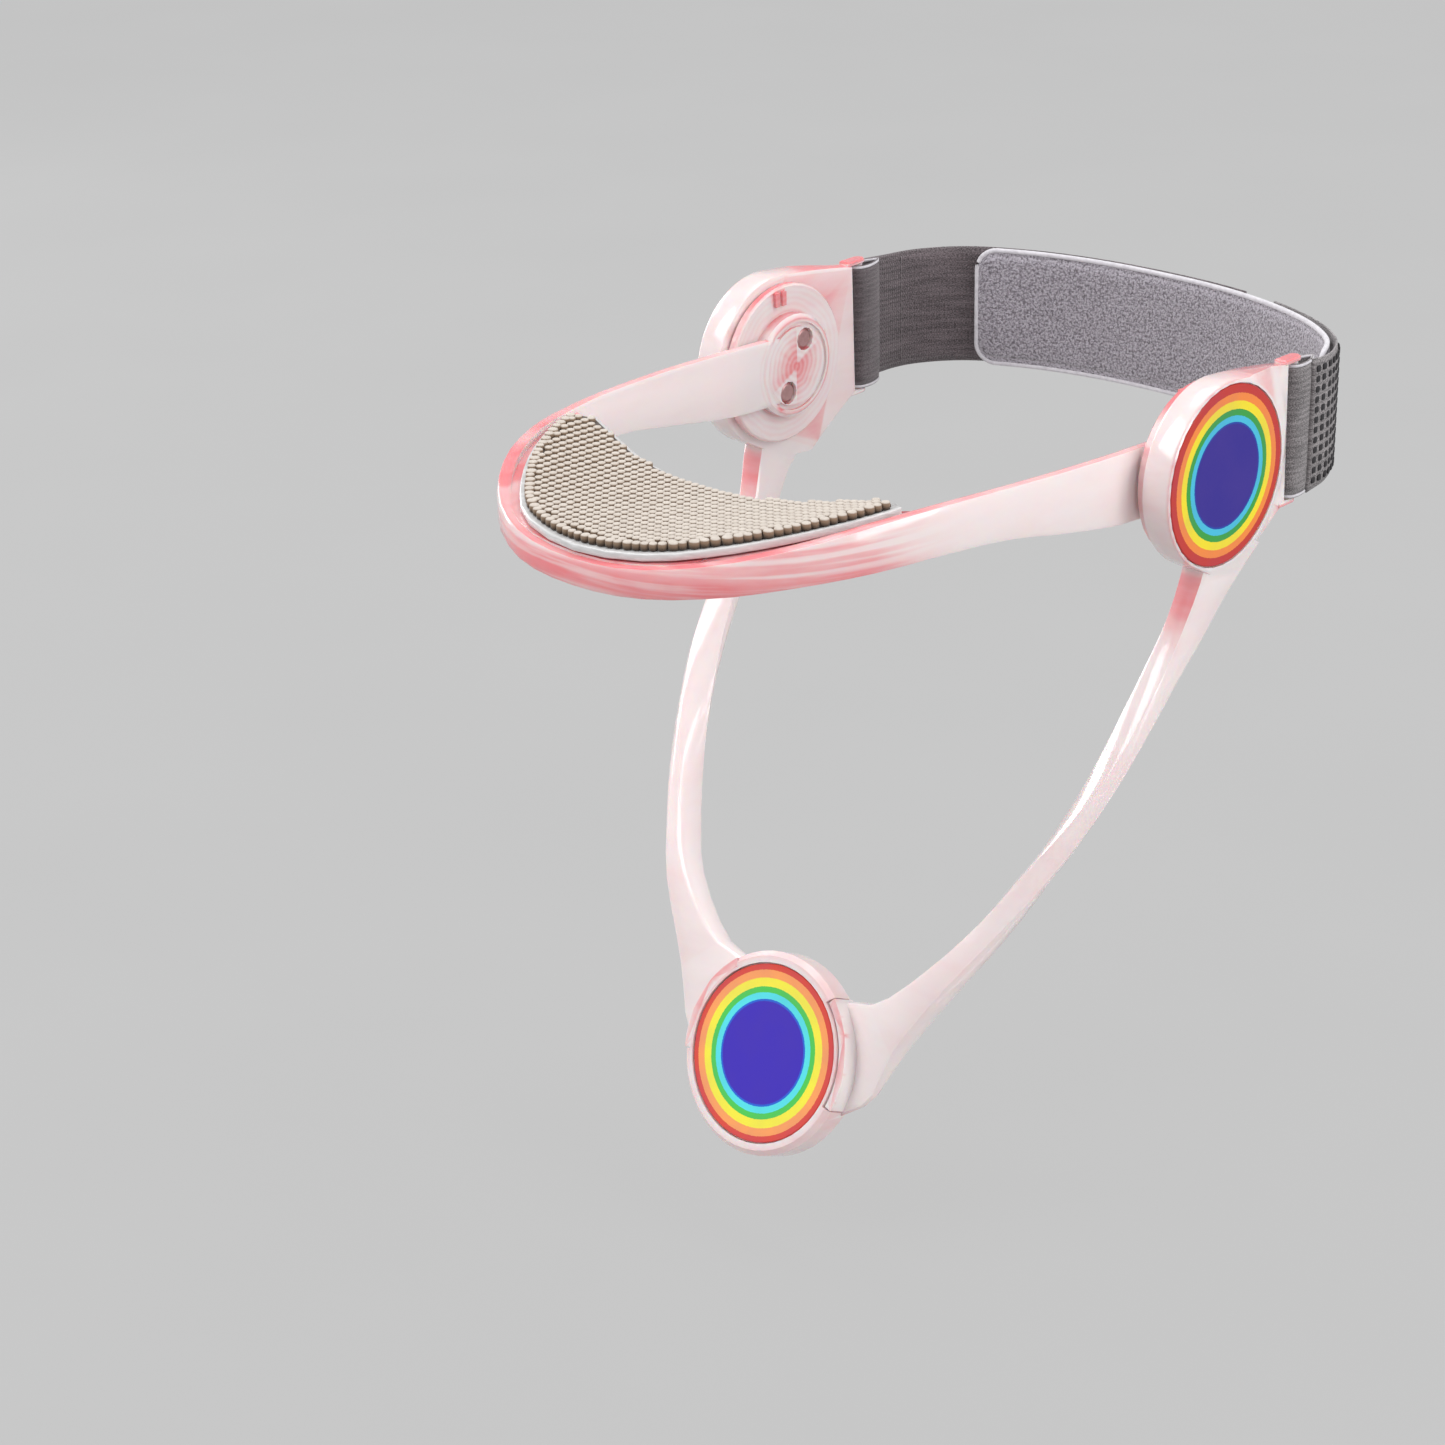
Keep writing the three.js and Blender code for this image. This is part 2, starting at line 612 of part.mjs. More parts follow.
// The closed loop of strap round a bar: a round front that turns on the bar, and a flat tail
// where the strap is stitched on.
function loopOutline(grow) {
  const half = LOOP_RADIUS + grow;
  const back = BAR.y + LOOP_LENGTH + grow;
  const shape = new THREE.Shape();
  shape.absarc(0, BAR.y, half, Math.PI, 2 * Math.PI, false);
  shape.lineTo(half, back - 3.4);
  shape.quadraticCurveTo(half - 0.3, back - 0.3, 0, back);
  shape.quadraticCurveTo(0.3 - half, back - 0.3, -half, back - 3.4);
  shape.closePath();
  return shape;
}

function strapLoop(side) {
  const [low, high] = [STRAP_MID_Z - LOOP_HEIGHT / 2, STRAP_MID_Z + LOOP_HEIGHT / 2];
  const outer = plateUpward(loopOutline(LOOP_WALL / 2), low, high, 0, 6);
  const hollow = plateUpward(loopOutline(-LOOP_WALL / 2), low - 1, high + 1, 0, 6);
  const across = side * BAR.x;
  return without(toSolid(outer.translate(across, 0, 0)), hollow.translate(across, 0, 0));
}

const BAND_END = 0.36;
const TAB_END = 0.3;
const PANEL_START = 0.036;
const PANEL_END = 0.813;
const LAYER = PANEL_THICK / 2 + GAP + STRAP_THICK / 2;

function elasticStrap(side, from, to) {
  return strapLoop(side).add(toSolid(strapPiece(from, to, LAYER, STRAP_THICK, STRAP_HEIGHT)));
}

function tabPanel() {
  return toSolid(strapPiece(PANEL_START, PANEL_END, 0, PANEL_THICK, STRAP_HEIGHT, 0.6));
}

// ---- Materials and assembly ----
const finish = (color, roughness, metalness = 0) => ({ color, roughness, metalness });
const PINK = finish(0xf3b9bb, 0.2);
const RIM_GREY = finish(0xc9ced1, 0.4);
const NUB_BEIGE = finish(0xcfc6bc, 0.85);
const LABEL = finish(0x4a2fb5, 0.35);
const STEEL = finish(0xb9bcc0, 0.3, 1);
const SOFT_PINK = finish(0xe9c9c8, 0.8);
const ELASTIC = finish(0x5d5558, 0.95);
const PANEL_GREY = finish(0xa39ba6, 0.95);

const model = new THREE.Group();

function add(name, solid, look) {
  const mesh = new THREE.Mesh(toGeometry(solid), new THREE.MeshStandardMaterial(look));
  mesh.name = name;
  model.add(mesh);
}

function addPair(name, rightSolid, look) {
  add(`${name}_right`, rightSolid, look);
  add(`${name}_left`, mirrored(rightSolid), look);
}

add('chin_yoke', chinYoke(), PINK);
add('pad_rim', toSolid(crescentSlab(-RIM_THICK, 0, RIM_MARGIN)), RIM_GREY);
add('chin_pad', toSolid(crescentSlab(GAP, PAD_HEIGHT, 0)), NUB_BEIGE);
addPair('leg', rightLeg(), PINK);
addPair('hub_label', hubLabel(), LABEL);
addPair('hub_retainer', retainer(), PINK);
addPair('stop_pin', stopPin(), STEEL);
HUB_SCREWS.forEach(([y, z], i) => {
  const screw = screwAlongX(BOSS_INNER_X + GAP, HUB_INNER_X + HUB_FLOOR + RETAINER_THICK, y, z);
  addPair(`hub_screw_${i === 0 ? 'upper' : 'lower'}`, screw, STEEL);
});
add('chest_cup', chestCup(), PINK);
add('chest_label', toSolid(chestDisc(CHEST_LABEL_RADIUS, -LABEL_THICK, 0, 0.2, LABEL_SIDES)), LABEL);
add('chest_back_plate', chestBackPlate(), PINK);
const padBottom = CHEST_PAD_TOP - CHEST_PAD_THICK;
add('chest_pad', toSolid(chestDisc(CHEST_PAD_RADIUS, padBottom, CHEST_PAD_TOP, 1.2)), SOFT_PINK);
addPair('chest_screw', chestScrew(), STEEL);
add('neck_band', elasticStrap(-1, BAND_END, 1), ELASTIC);
add('tab_strap', elasticStrap(1, 0, TAB_END), ELASTIC);
add('tab_panel', tabPanel(), PANEL_GREY);

export default model;
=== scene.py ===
# %% [markdown]
# # A chin-rest neck support in clear pink plastic
# The object is a light wearable frame. A yoke with a ribbed chin pad tilts between two round
# hubs, a twisted leg runs down from each hub to a disc on the breastbone, and a strap with a
# soft inner panel closes behind the neck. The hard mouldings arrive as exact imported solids, so
# this lesson gives them their finish and builds every soft piece around them.

import json
import math
import random

import bmesh
import bpy
from mathutils import Matrix, Vector


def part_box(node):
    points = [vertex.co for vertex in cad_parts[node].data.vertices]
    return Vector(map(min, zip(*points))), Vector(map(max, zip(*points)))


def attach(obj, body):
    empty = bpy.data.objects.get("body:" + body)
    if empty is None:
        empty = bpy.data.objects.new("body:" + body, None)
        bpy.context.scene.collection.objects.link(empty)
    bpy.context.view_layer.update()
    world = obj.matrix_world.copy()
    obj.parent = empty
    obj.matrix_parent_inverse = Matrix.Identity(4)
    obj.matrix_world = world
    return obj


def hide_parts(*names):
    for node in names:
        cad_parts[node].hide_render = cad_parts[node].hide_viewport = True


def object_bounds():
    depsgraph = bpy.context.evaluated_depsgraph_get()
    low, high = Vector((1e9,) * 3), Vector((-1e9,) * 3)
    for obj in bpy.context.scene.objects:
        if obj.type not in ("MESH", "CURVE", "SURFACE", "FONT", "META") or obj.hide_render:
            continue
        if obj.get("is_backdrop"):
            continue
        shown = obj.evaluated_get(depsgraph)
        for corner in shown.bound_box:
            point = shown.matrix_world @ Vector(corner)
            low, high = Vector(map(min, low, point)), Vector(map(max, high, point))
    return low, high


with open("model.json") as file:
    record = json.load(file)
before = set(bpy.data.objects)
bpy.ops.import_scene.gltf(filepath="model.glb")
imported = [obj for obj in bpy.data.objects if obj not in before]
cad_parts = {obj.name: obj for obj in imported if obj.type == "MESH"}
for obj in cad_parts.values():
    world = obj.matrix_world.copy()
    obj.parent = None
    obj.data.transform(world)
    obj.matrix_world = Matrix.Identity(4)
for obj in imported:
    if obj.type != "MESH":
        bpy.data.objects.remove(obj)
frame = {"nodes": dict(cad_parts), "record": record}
cad_low, cad_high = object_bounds()
nodes = frame["nodes"]
MM = 0.001
print("mouldings and fittings in the frame:", len(nodes))

# %% [markdown]
# ## Studio
# A wearable has no table of its own, so it hangs above a pale sweep that curves up behind it.
# A sweep could be a plane and a wall, but the seam would cut through the picture behind the
# clear plastic. One curved sheet has no seam, so light passing through the frame stays even.

# %% The pale sweep behind and below
scene = bpy.context.scene
scene.view_settings.view_transform = "Standard"


def sweep_outline(reach, rise, bend, steps=24):
    """Side view of the sweep: flat floor, quarter bend, upright wall."""
    line = [(-reach, 0.0)]
    for i in range(steps + 1):
        turn = math.pi / 2 * i / steps
        line.append((reach - bend + bend * math.sin(turn), bend - bend * math.cos(turn)))
    return line + [(reach, rise)]


def build_sweep(width=9.0, reach=3.4, rise=4.2, bend=1.4, turn=40, drop=0.02):
    """Metres, with the turn about the upright in degrees and the drop below the object."""
    mesh = bpy.data.meshes.new("sweep")
    form = bmesh.new()
    line = sweep_outline(reach, rise, bend)
    rows = [[form.verts.new((side * width / 2, y, z)) for side in (-1, 1)] for y, z in line]
    for before, after in zip(rows, rows[1:]):
        form.faces.new((before[0], before[1], after[1], after[0]))
    form.to_mesh(mesh)
    form.free()
    for face in mesh.polygons:
        face.use_smooth = True
    sweep = bpy.data.objects.new("sweep", mesh)
    scene.collection.objects.link(sweep)
    sweep.rotation_euler.z = math.radians(turn)
    sweep.location.z = cad_low.z - drop
    sweep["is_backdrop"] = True
    return sweep


sweep = build_sweep()
print("sweep lies", round((cad_low.z - sweep.location.z) / MM), "mm below the chest disc")

# %% [markdown]
# ## Camera
# A long lens from the front right, a little above the hinge line, shows the inside of the far
# hub and the outside of the near one. The camera first looks at the middle of the hinge line
# and is then turned a few degrees, which puts the object right of centre as a picture would
# be framed to leave room at the left.


# %% Place the camera
def aim_camera(azimuth, elevation, distance, pan, nod, lean, lens):
    """Angles in degrees: where the camera stands, then how it turns away from the origin."""
    a, e = math.radians(azimuth), math.radians(elevation)
    back = Vector((math.sin(a) * math.cos(e), -math.cos(a) * math.cos(e), math.sin(e)))
    right = Vector((math.cos(a), math.sin(a), 0))
    up = back.cross(right)
    place = back * distance
    right, back = turned(right, up, pan), turned(back, up, pan)
    up, back = turned(up, right, nod), turned(back, right, nod)
    up, right = turned(up, back, lean), turned(right, back, lean)
    data = bpy.data.cameras.new("camera")
    data.lens = lens
    data.sensor_width = 36
    data.clip_end = 40
    camera = bpy.data.objects.new("camera", data)
    camera.matrix_world = Matrix.Translation(place) @ Matrix((right, up, back)).transposed().to_4x4()
    scene.collection.objects.link(camera)
    scene.camera = camera
    return camera


def turned(vector, axis, degrees):
    return Matrix.Rotation(math.radians(degrees), 3, axis) @ vector


camera = aim_camera(
    azimuth=39.218, elevation=18.038, distance=0.7411, pan=4.48, nod=-5.481, lean=0.1, lens=80.69
)
print("camera stands", round(camera.location.length, 3), "m from the hinge line")

# %% [markdown]
# ## Light
# Clear plastic is drawn by what it reflects. Large soft panels make the long white streaks on
# the hub walls and the legs: one high in front, one low at each side and one overhead. An even
# pale sky fills the rest, so shadows stay faint and the milky walls stay bright.


# %% Soft panels and sky
def soft_panel(name, azimuth, elevation, distance, size, watts):
    a, e = math.radians(azimuth), math.radians(elevation)
    place = Vector((math.sin(a) * math.cos(e), -math.cos(a) * math.cos(e), math.sin(e))) * distance
    data = bpy.data.lights.new(name, "AREA")
    data.shape = "RECTANGLE"
    data.size, data.size_y = size
    data.energy = watts
    lamp = bpy.data.objects.new(name, data)
    lamp.location = place
    lamp.rotation_euler = place.to_track_quat("Z", "Y").to_euler()
    scene.collection.objects.link(lamp)
    return lamp


lamps = [
    soft_panel("key_panel", -30, 45, 1.5, (1.0, 1.0), 12),
    soft_panel("left_panel", -92, 4, 1.2, (0.55, 1.3), 9),
    soft_panel("side_panel", 100, 22, 1.3, (0.6, 1.2), 9),
    soft_panel("top_panel", 190, 70, 1.6, (1.4, 1.0), 8),
]
sky = bpy.data.worlds.new("sky")
sky.use_nodes = True
sky.node_tree.nodes["Background"].inputs["Color"].default_value = (0.97, 0.98, 1.0, 1)
sky.node_tree.nodes["Background"].inputs["Strength"].default_value = 0.74
scene.world = sky
print("light panels:", len(lamps))

# %% [markdown]
# ## Writing materials as sums
# A finish is easier to read as arithmetic than as a list of nodes. The class below wraps one
# output of a node tree. Adding or multiplying two of them places the Math node, and `add`
# makes any other node from its type, its settings and what goes into its sockets.


# %% A wire that knows arithmetic
class Wire:
    """One output socket of a material's node tree."""

    def __init__(self, tree, socket):
        self.tree = tree
        self.socket = socket

    def add(self, kind, settings=None, inputs=None, output=0):
        node = self.tree.nodes.new(kind)
        for name, value in (settings or {}).items():
            if name == "stops":
                fill_ramp(node.color_ramp, value)
            else:
                setattr(node, name, value)
        for key, value in (inputs or {}).items():
            if isinstance(value, Wire):
                self.tree.links.new(value.socket, node.inputs[key])
            else:
                node.inputs[key].default_value = value
        return Wire(self.tree, node.outputs[output])

    def siblings(self):
        """Every output of the node this wire comes from, such as x, y and z."""
        return [Wire(self.tree, output) for output in self.socket.node.outputs]

    def maths(self, operation, *others):
        inputs = dict(enumerate((self, *others)))
        return self.add("ShaderNodeMath", {"operation": operation}, inputs)

    def __add__(self, other):
        return self.maths("ADD", other)

    def __sub__(self, other):
        return self.maths("SUBTRACT", other)

    def __rsub__(self, other):
        return self.add("ShaderNodeMath", {"operation": "SUBTRACT"}, {0: other, 1: self})

    def __mul__(self, other):
        return self.maths("MULTIPLY", other)

    def __truediv__(self, other):
        return self.maths("DIVIDE", other)

    __radd__ = __add__
    __rmul__ = __mul__

    def ramp(self, low, high):
        """0 below low, 1 above high, smooth between."""
        settings = {"interpolation_type": "SMOOTHSTEP"}
        return self.add("ShaderNodeMapRange", settings, {0: self, 1: low, 2: high, 3: 0.0, 4: 1.0})

    def mix(self, first, second):
        """Two colours, mixed by this wire."""
        settings = {"data_type": "RGBA"}
        return self.add("ShaderNodeMix", settings, {0: self, 6: first, 7: second}, output=2)


def fill_ramp(ramp, stops):
    ramp.interpolation = "CONSTANT"
    while len(ramp.elements) < len(stops):
        ramp.elements.new(1.0)
    for element, (place, colour) in zip(ramp.elements, stops):
        element.position = place
        element.color = colour


def linear(red, green, blue):
    """A screen colour, 0 to 255, as the light values that shaders use."""
    def one(value):
        value /= 255
        return value / 12.92 if value <= 0.04045 else ((value + 0.055) / 1.055) ** 2.4
    return (one(red), one(green), one(blue), 1.0)


# %% [markdown]
# A material starts with its fixed values set straight on the shader. What varies over the
# surface is added afterwards, as a wire into colour, roughness or bump. The varying parts read
# the piece's own place in the frame, so a pattern stays put from every side.


# %% Start a material
class Finish:
    """A new material, its Principled shader and a few wires to begin from."""

    def __init__(self, name, **fixed):
        self.material = bpy.data.materials.new(name)
        self.material.use_nodes = True
        self.tree = self.material.node_tree
        self.shader = self.tree.nodes["Principled BSDF"]
        for key, value in fixed.items():
            self.shader.inputs[key.replace("_", " ")].default_value = value
        self.start = Wire(self.tree, None)
        self.place = self.start.add("ShaderNodeTexCoord", output=3)

    def feed(self, socket, wire):
        self.tree.links.new(wire.socket, self.shader.inputs[socket])

    def parts(self, vector):
        """The x, y and z of a vector wire."""
        return self.start.add("ShaderNodeSeparateXYZ", None, {0: vector}).siblings()

    def stretched(self, vector, scale):
        inputs = {0: vector, 1: scale}
        return self.start.add("ShaderNodeVectorMath", {"operation": "MULTIPLY"}, inputs)

    def vector_sum(self, vector, other):
        return self.start.add("ShaderNodeVectorMath", {"operation": "ADD"}, {0: vector, 1: other})

    def noise(self, vector, scale, detail=2.0, roughness=0.5):
        inputs = {"Vector": vector, "Scale": scale, "Detail": detail, "Roughness": roughness}
        return self.start.add("ShaderNodeTexNoise", None, inputs)

    def cells(self, vector, scale):
        return self.start.add("ShaderNodeTexVoronoi", None, {"Vector": vector, "Scale": scale})

    def edges(self, low, high):
        """1 on outward edges and corners, 0 on flat ground and in hollows."""
        return self.start.add("ShaderNodeNewGeometry", output=7).ramp(low, high)

    def raise_surface(self, height, depth, strength=1.0):
        inputs = {"Height": height, "Distance": depth, "Strength": strength}
        self.feed("Normal", self.start.add("ShaderNodeBump", None, inputs))


print("shader helpers ready")

# %% [markdown]
# ## Sweep paper
# The backdrop is matt paper, lit a little from behind as a product sweep is, so its grey stays
# even from floor to wall. A trace of noise keeps it from looking like a plain digital grey.


# %% Paint the sweep
def sweep_paper():
    paper = Finish("sweep_paper", Roughness=1.0, Specular_IOR_Level=0.0, Emission_Strength=1.0)
    grain = paper.noise(paper.place, 9.0, 4.0)
    paper.feed("Base Color", grain.mix(linear(58, 58, 58), linear(62, 62, 62)))
    paper.feed("Emission Color", grain.mix(linear(188, 188, 188), linear(190, 190, 190)))
    return paper.material


sweep.data.materials.append(sweep_paper())
print("sweep painted with", sweep.active_material.name)

# %% [markdown]
# ## Clear pink plastic
# The frame is moulded in a tinted clear plastic. Broad thin walls look milky and almost white,
# while edges and thick stretches glow a strong pink, because light that runs along inside the
# wall picks up tint before it leaves at an edge. A pure glass shader would show the tint only
# by volume, which is slow and noisy, so the wall is part clear and part milky, and the pink is
# painted on outward edges and on the faces named for each moulding. Flow marks from the mould
# break up the colour and the gloss.


# %% Clear plastic with glowing edges
PALE = linear(252, 240, 239)
ROSE = linear(247, 128, 134)


def clear_plastic(name, pink_faces, edge_glow=0.65, clear=0.2):
    """pink_faces(finish) gives a wire that is 1 where a wall is seen along its edge."""
    plastic = Finish(
        name,
        IOR=1.49,
        Transmission_Weight=clear,
        Coat_Weight=0.7,
        Coat_Roughness=0.04,
        Specular_IOR_Level=0.6,
        Subsurface_Weight=0.25,
        Subsurface_Scale=0.003,
    )
    flow = plastic.noise(plastic.stretched(plastic.place, (30, 30, 90)), 2.2, 3.0)
    wisps = plastic.noise(plastic.stretched(plastic.place, (90, 90, 420)), 1.0, 4.0)
    mask = pink_faces(plastic) + plastic.edges(0.514, 0.61) * edge_glow
    tint = (mask + (flow - 0.5) * 0.3 + (wisps - 0.5) * 0.35 * mask.ramp(0.1, 0.6)).ramp(0.0, 1.05)
    plastic.feed("Base Color", tint.mix(PALE, ROSE))
    plastic.feed("Roughness", 0.1 + flow * 0.14)
    ripple = plastic.noise(plastic.stretched(plastic.place, (60, 60, 160)), 1.0, 2.0)
    plastic.raise_surface(ripple, 0.0008, 0.3)
    return plastic.material


def facing(finish):
    """How far the surface faces along x, y and z, without a sign."""
    normal = finish.start.add("ShaderNodeNewGeometry", output=1)
    return [part.maths("ABSOLUTE") for part in finish.parts(normal)]


# Where a colour starts to change and where the change is full, in metres from the hinge.
PAD_WALL_Y = (-0.098, -0.066)
PAD_WALL_Z = (-0.003, 0.0045)
BOSS_X = (0.0540, 0.0560)
BOSS_RADIUS = (0.0122, 0.0136)
ROTOR_X = (0.0570, 0.0585)
ROTOR_RADIUS = (0.0190, 0.0196)
NOTCH_START_Z = (-0.040, -0.026)
NOTCH_END_Z = (-0.024, -0.018)
SHOULDER_Z = (0.008, 0.018)
SHOULDER_Y = (-0.004, 0.012)


def yoke_faces(finish):
    """The edges of the arms, the thick front wall of the pad seat and the turned hub boss."""
    up = facing(finish)[2]
    x, y, z = finish.parts(finish.place)
    front = 1 - y.ramp(*PAD_WALL_Y)
    low = 1 - z.ramp(*PAD_WALL_Z)
    # Painted highlights: the pink on the front wall runs in bands, and the pale lines between them
    # stand for parallel highlights on the curved wall.
    pink_and_highlight_bands = finish.noise(finish.stretched(finish.place, (22, 22, 620)), 1.0, 2.0).ramp(0.36, 0.62)
    from_hinge = (y * y + z * z).maths("SQRT")
    boss = x.maths("ABSOLUTE").ramp(*BOSS_X) * (1 - from_hinge.ramp(*BOSS_RADIUS))
    disc = x.maths("ABSOLUTE").ramp(*ROTOR_X) * (1 - from_hinge.ramp(*ROTOR_RADIUS))
    wander = finish.noise(finish.place, 160.0, 3.0)
    swirl = (from_hinge * 4200 + wander * 9).maths("SINE")
    hub = boss * (0.16 + swirl * 0.1) + disc * (0.2 + swirl * 0.05)
    return up.ramp(0.7, 0.97) * 0.5 + front * (0.08 + pink_and_highlight_bands * 0.34 + low * 0.36) + hub


def leg_faces(finish):
    """The narrow neck below the hub, the top behind it, and a faint blush down the leg."""
    along_x, _, up = facing(finish)
    _, y, z = finish.parts(finish.place)
    side_on = 1 - along_x.ramp(0.5, 0.95)
    notch = z.ramp(*NOTCH_START_Z) * (1 - z.ramp(*NOTCH_END_Z)) * side_on
    shoulder = up.ramp(0.5, 0.9) * z.ramp(*SHOULDER_Z) * y.ramp(*SHOULDER_Y)
    return shoulder * 0.5 + notch * 0.7 + 0.05


yoke_plastic = clear_plastic("yoke_plastic", yoke_faces)
leg_plastic = clear_plastic("leg_plastic", leg_faces)


def disc_faces(finish):
    """Only a faint cloud of pink: the chest disc and the hub plates are thin and pale."""
    return finish.noise(finish.place, 60.0) * 0.14


disc_plastic = clear_plastic("disc_plastic", disc_faces, 0.3)
print("clear plastics:", yoke_plastic.name, leg_plastic.name, disc_plastic.name)

# %% [markdown]
# ## Small metal fittings
# The screws and stop pins are turned steel, and they sit deep in the plastic. Plain grey metal
# would be the simplest finish, but it would look cut out of the pink around it, so the steel is
# given a dull rose colour, a painted reflection of the pink plastic round it, and fine turning
# marks make its gloss uneven.


# %% Turned steel
def turned_steel():
    steel = Finish("turned_steel", Metallic=1.0)
    swirl = steel.noise(steel.stretched(steel.place, (4000, 900, 900)), 1.0, 3.0)
    # Painted reflection: the two rose tones stand for the pink plastic reflected in the steel.
    steel.feed("Base Color", swirl.mix(linear(176, 132, 132), linear(214, 176, 174)))
    steel.feed("Roughness", 0.35 + swirl * 0.25)
    steel.raise_surface(swirl, 0.00005, 0.4)
    return steel.material


steel = turned_steel()
print("steel for the screws and pins:", steel.name)

# %% [markdown]
# ## Printed discs
# Each cap carries a printed disc of coloured rings round an indigo centre. The rings are
# worked out from the distance to the middle of the disc, so they stay true circles at any
# size. A fine dot grain roughens the ink's edges, and a thin clear coat lies on top.


# %% Rings from the distance to the centre
HUB_RINGS = (
    (0.0, (46, 32, 138)), (0.565, (24, 62, 160)), (0.585, (66, 184, 214)), (0.655, (52, 154, 62)),
    (0.725, (236, 216, 40)), (0.815, (236, 134, 58)), (0.9, (190, 54, 42)),
)
CHEST_RINGS = (
    (0.0, (60, 40, 178)), (0.575, (36, 96, 206)), (0.6, (84, 218, 226)), (0.672, (76, 196, 82)),
    (0.742, (240, 230, 66)), (0.838, (244, 158, 92)), (0.926, (214, 74, 60)),
)


def printed_disc(name, bands, centre, across, up, radius):
    """bands: where each ink starts, as a share of the radius; across and up lie in the disc."""
    film = Finish(name, Coat_Weight=0.2, Coat_Roughness=0.15, IOR=1.45, Specular_IOR_Level=0.25)
    shift = tuple(-value for value in centre)
    local = film.vector_sum(film.place, shift)
    squares = []
    for axis in (across, up):
        settings = {"operation": "DOT_PRODUCT"}
        dot = film.start.add("ShaderNodeVectorMath", settings, {0: local, 1: axis}, output=1)
        squares.append(dot * dot)
    distance = (squares[0] + squares[1]).maths("SQRT")
    grain = film.noise(film.place, 2600.0, 2.0)
    share = distance / radius + (grain - 0.5) * 0.012
    stops = [(start, linear(*ink)) for start, ink in bands]
    rings = film.start.add("ShaderNodeValToRGB", {"stops": stops}, {0: share})
    cloud = film.noise(film.place, 120.0, 4.0).ramp(0.35, 0.75)
    film.feed("Base Color", (cloud * 0.12).mix(rings, linear(84, 58, 140)))
    film.feed("Roughness", 0.42 + grain * 0.12)
    film.raise_surface(grain, 0.00003, 0.3)
    return film.material


print("ring inks: hub", len(HUB_RINGS), "and chest", len(CHEST_RINGS))

# %% [markdown]
# ## Dressing the mouldings
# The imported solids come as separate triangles. Welding their corners and splitting only the
# sharp creases lets broad curves shade smoothly while rims stay crisp. A very small bevel
# catches the light along the edges of the hub plates and the pad's rim; the other solids go
# without one.


# %% Weld, soften and paint a solid
def dress(name, material, bevel=0.25, crease=32):
    solid = nodes[name]
    solid.data.materials.clear()
    solid.data.materials.append(material)
    for face in solid.data.polygons:
        face.use_smooth = True
    weld = solid.modifiers.new("weld", "WELD")
    weld.merge_threshold = 0.00002
    if bevel:
        soften = solid.modifiers.new("soft_edges", "BEVEL")
        soften.width = bevel * MM
        soften.segments = 2
        soften.limit_method = "ANGLE"
        soften.angle_limit = math.radians(40)
    split = solid.modifiers.new("creases", "EDGE_SPLIT")
    split.split_angle = math.radians(crease)
    return solid


dress("chin_yoke", yoke_plastic, 0)
for side in ("right", "left"):
    dress(f"leg_{side}", leg_plastic, 0)
    dress(f"hub_retainer_{side}", disc_plastic)
    dress(f"stop_pin_{side}", steel, 0)
    dress(f"chest_screw_{side}", steel, 0)
    dress(f"hub_screw_upper_{side}", steel, 0)
    dress(f"hub_screw_lower_{side}", steel, 0)
for name in ("chest_cup", "chest_back_plate"):
    dress(name, disc_plastic, 0)

for side in ("right", "left"):
    low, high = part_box(f"hub_label_{side}")
    centre = (low + high) / 2
    radius = (high.z - low.z) / 2
    disc = printed_disc(f"hub_print_{side}", HUB_RINGS, centre, (0, 1, 0), (0, 0, 1), radius)
    dress(f"hub_label_{side}", disc, 0)

mounts = {mount["name"]: mount for mount in frame["record"]["mounts"]}
chest_normal = Vector(mounts["chest_face"]["axis"])
chest_centre = Vector(mounts["chest_face"]["pos_m"])
chest_up = chest_normal.cross(Vector((1, 0, 0)))
label_low, label_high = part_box("chest_label")
label_radius = (label_high.x - label_low.x) / 2
across = (1, 0, 0)
chest_print = printed_disc("chest_print", CHEST_RINGS, chest_centre, across, chest_up, label_radius)
dress("chest_label", chest_print, 0)
lean = math.degrees(math.asin(chest_normal.z))
print("label radius", round(label_radius / MM, 1), "mm; chest disc leans", round(lean, 1))

# %% [markdown]
# ## Making soft pieces
# The pad, cushions and strap are built point by point. One helper turns rings of points into a
# closed skin, and stores the distance along and across each ring for the weave to follow.


# %% Skin a row of rings
def new_piece(name, form, material, body):
    mesh = bpy.data.meshes.new(name)
    bmesh.ops.recalc_face_normals(form, faces=form.faces)
    form.to_mesh(mesh)
    form.free()
    for face in mesh.polygons:
        face.use_smooth = True
    mesh.materials.append(material)
    piece = bpy.data.objects.new(name, mesh)
    scene.collection.objects.link(piece)
    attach(piece, body)
    return piece


def skin(form, rings, closed=False, cloth=None):
    """rings hold equal counts of points; cloth gives two stored distances for each point."""
    made = [[form.verts.new(point) for point in ring] for ring in rings]
    count = len(made[0])
    faces = []
    for i in range(len(made) if closed else len(made) - 1):
        j = (i + 1) % len(made)
        for k in range(count):
            n = (k + 1) % count
            faces.append(form.faces.new((made[i][k], made[i][n], made[j][n], made[j][k])))
    if not closed:
        faces.append(form.faces.new(list(reversed(made[0]))))
        faces.append(form.faces.new(made[-1]))
    if cloth:
        layers = form.loops.layers.uv
        layer = layers.get("UVMap") or layers.new("UVMap")
        stored = {made[i][k]: cloth(i, k) for i in range(len(made)) for k in range(count)}
        for face in faces:
            for loop in face.loops:
                loop[layer].uv = stored[loop.vert]


def tube(form, path, radius, sides=8, closed=False):
    """A round cord or edge along a list of points."""
    rings = []
    count = len(path)
    for i, point in enumerate(path):
        before = path[i - 1] if i or closed else point
        after = path[(i + 1) % count] if i < count - 1 or closed else point
        along = (after - before).normalized()
        side = along.cross(Vector((0.31, 0.17, 0.93))).normalized()
        other = along.cross(side)
        turns = [2 * math.pi * k / sides for k in range(sides)]
        rings.append([point + (side * math.cos(t) + other * math.sin(t)) * radius for t in turns])
    skin(form, rings, closed)


print("skin and tube helpers ready")

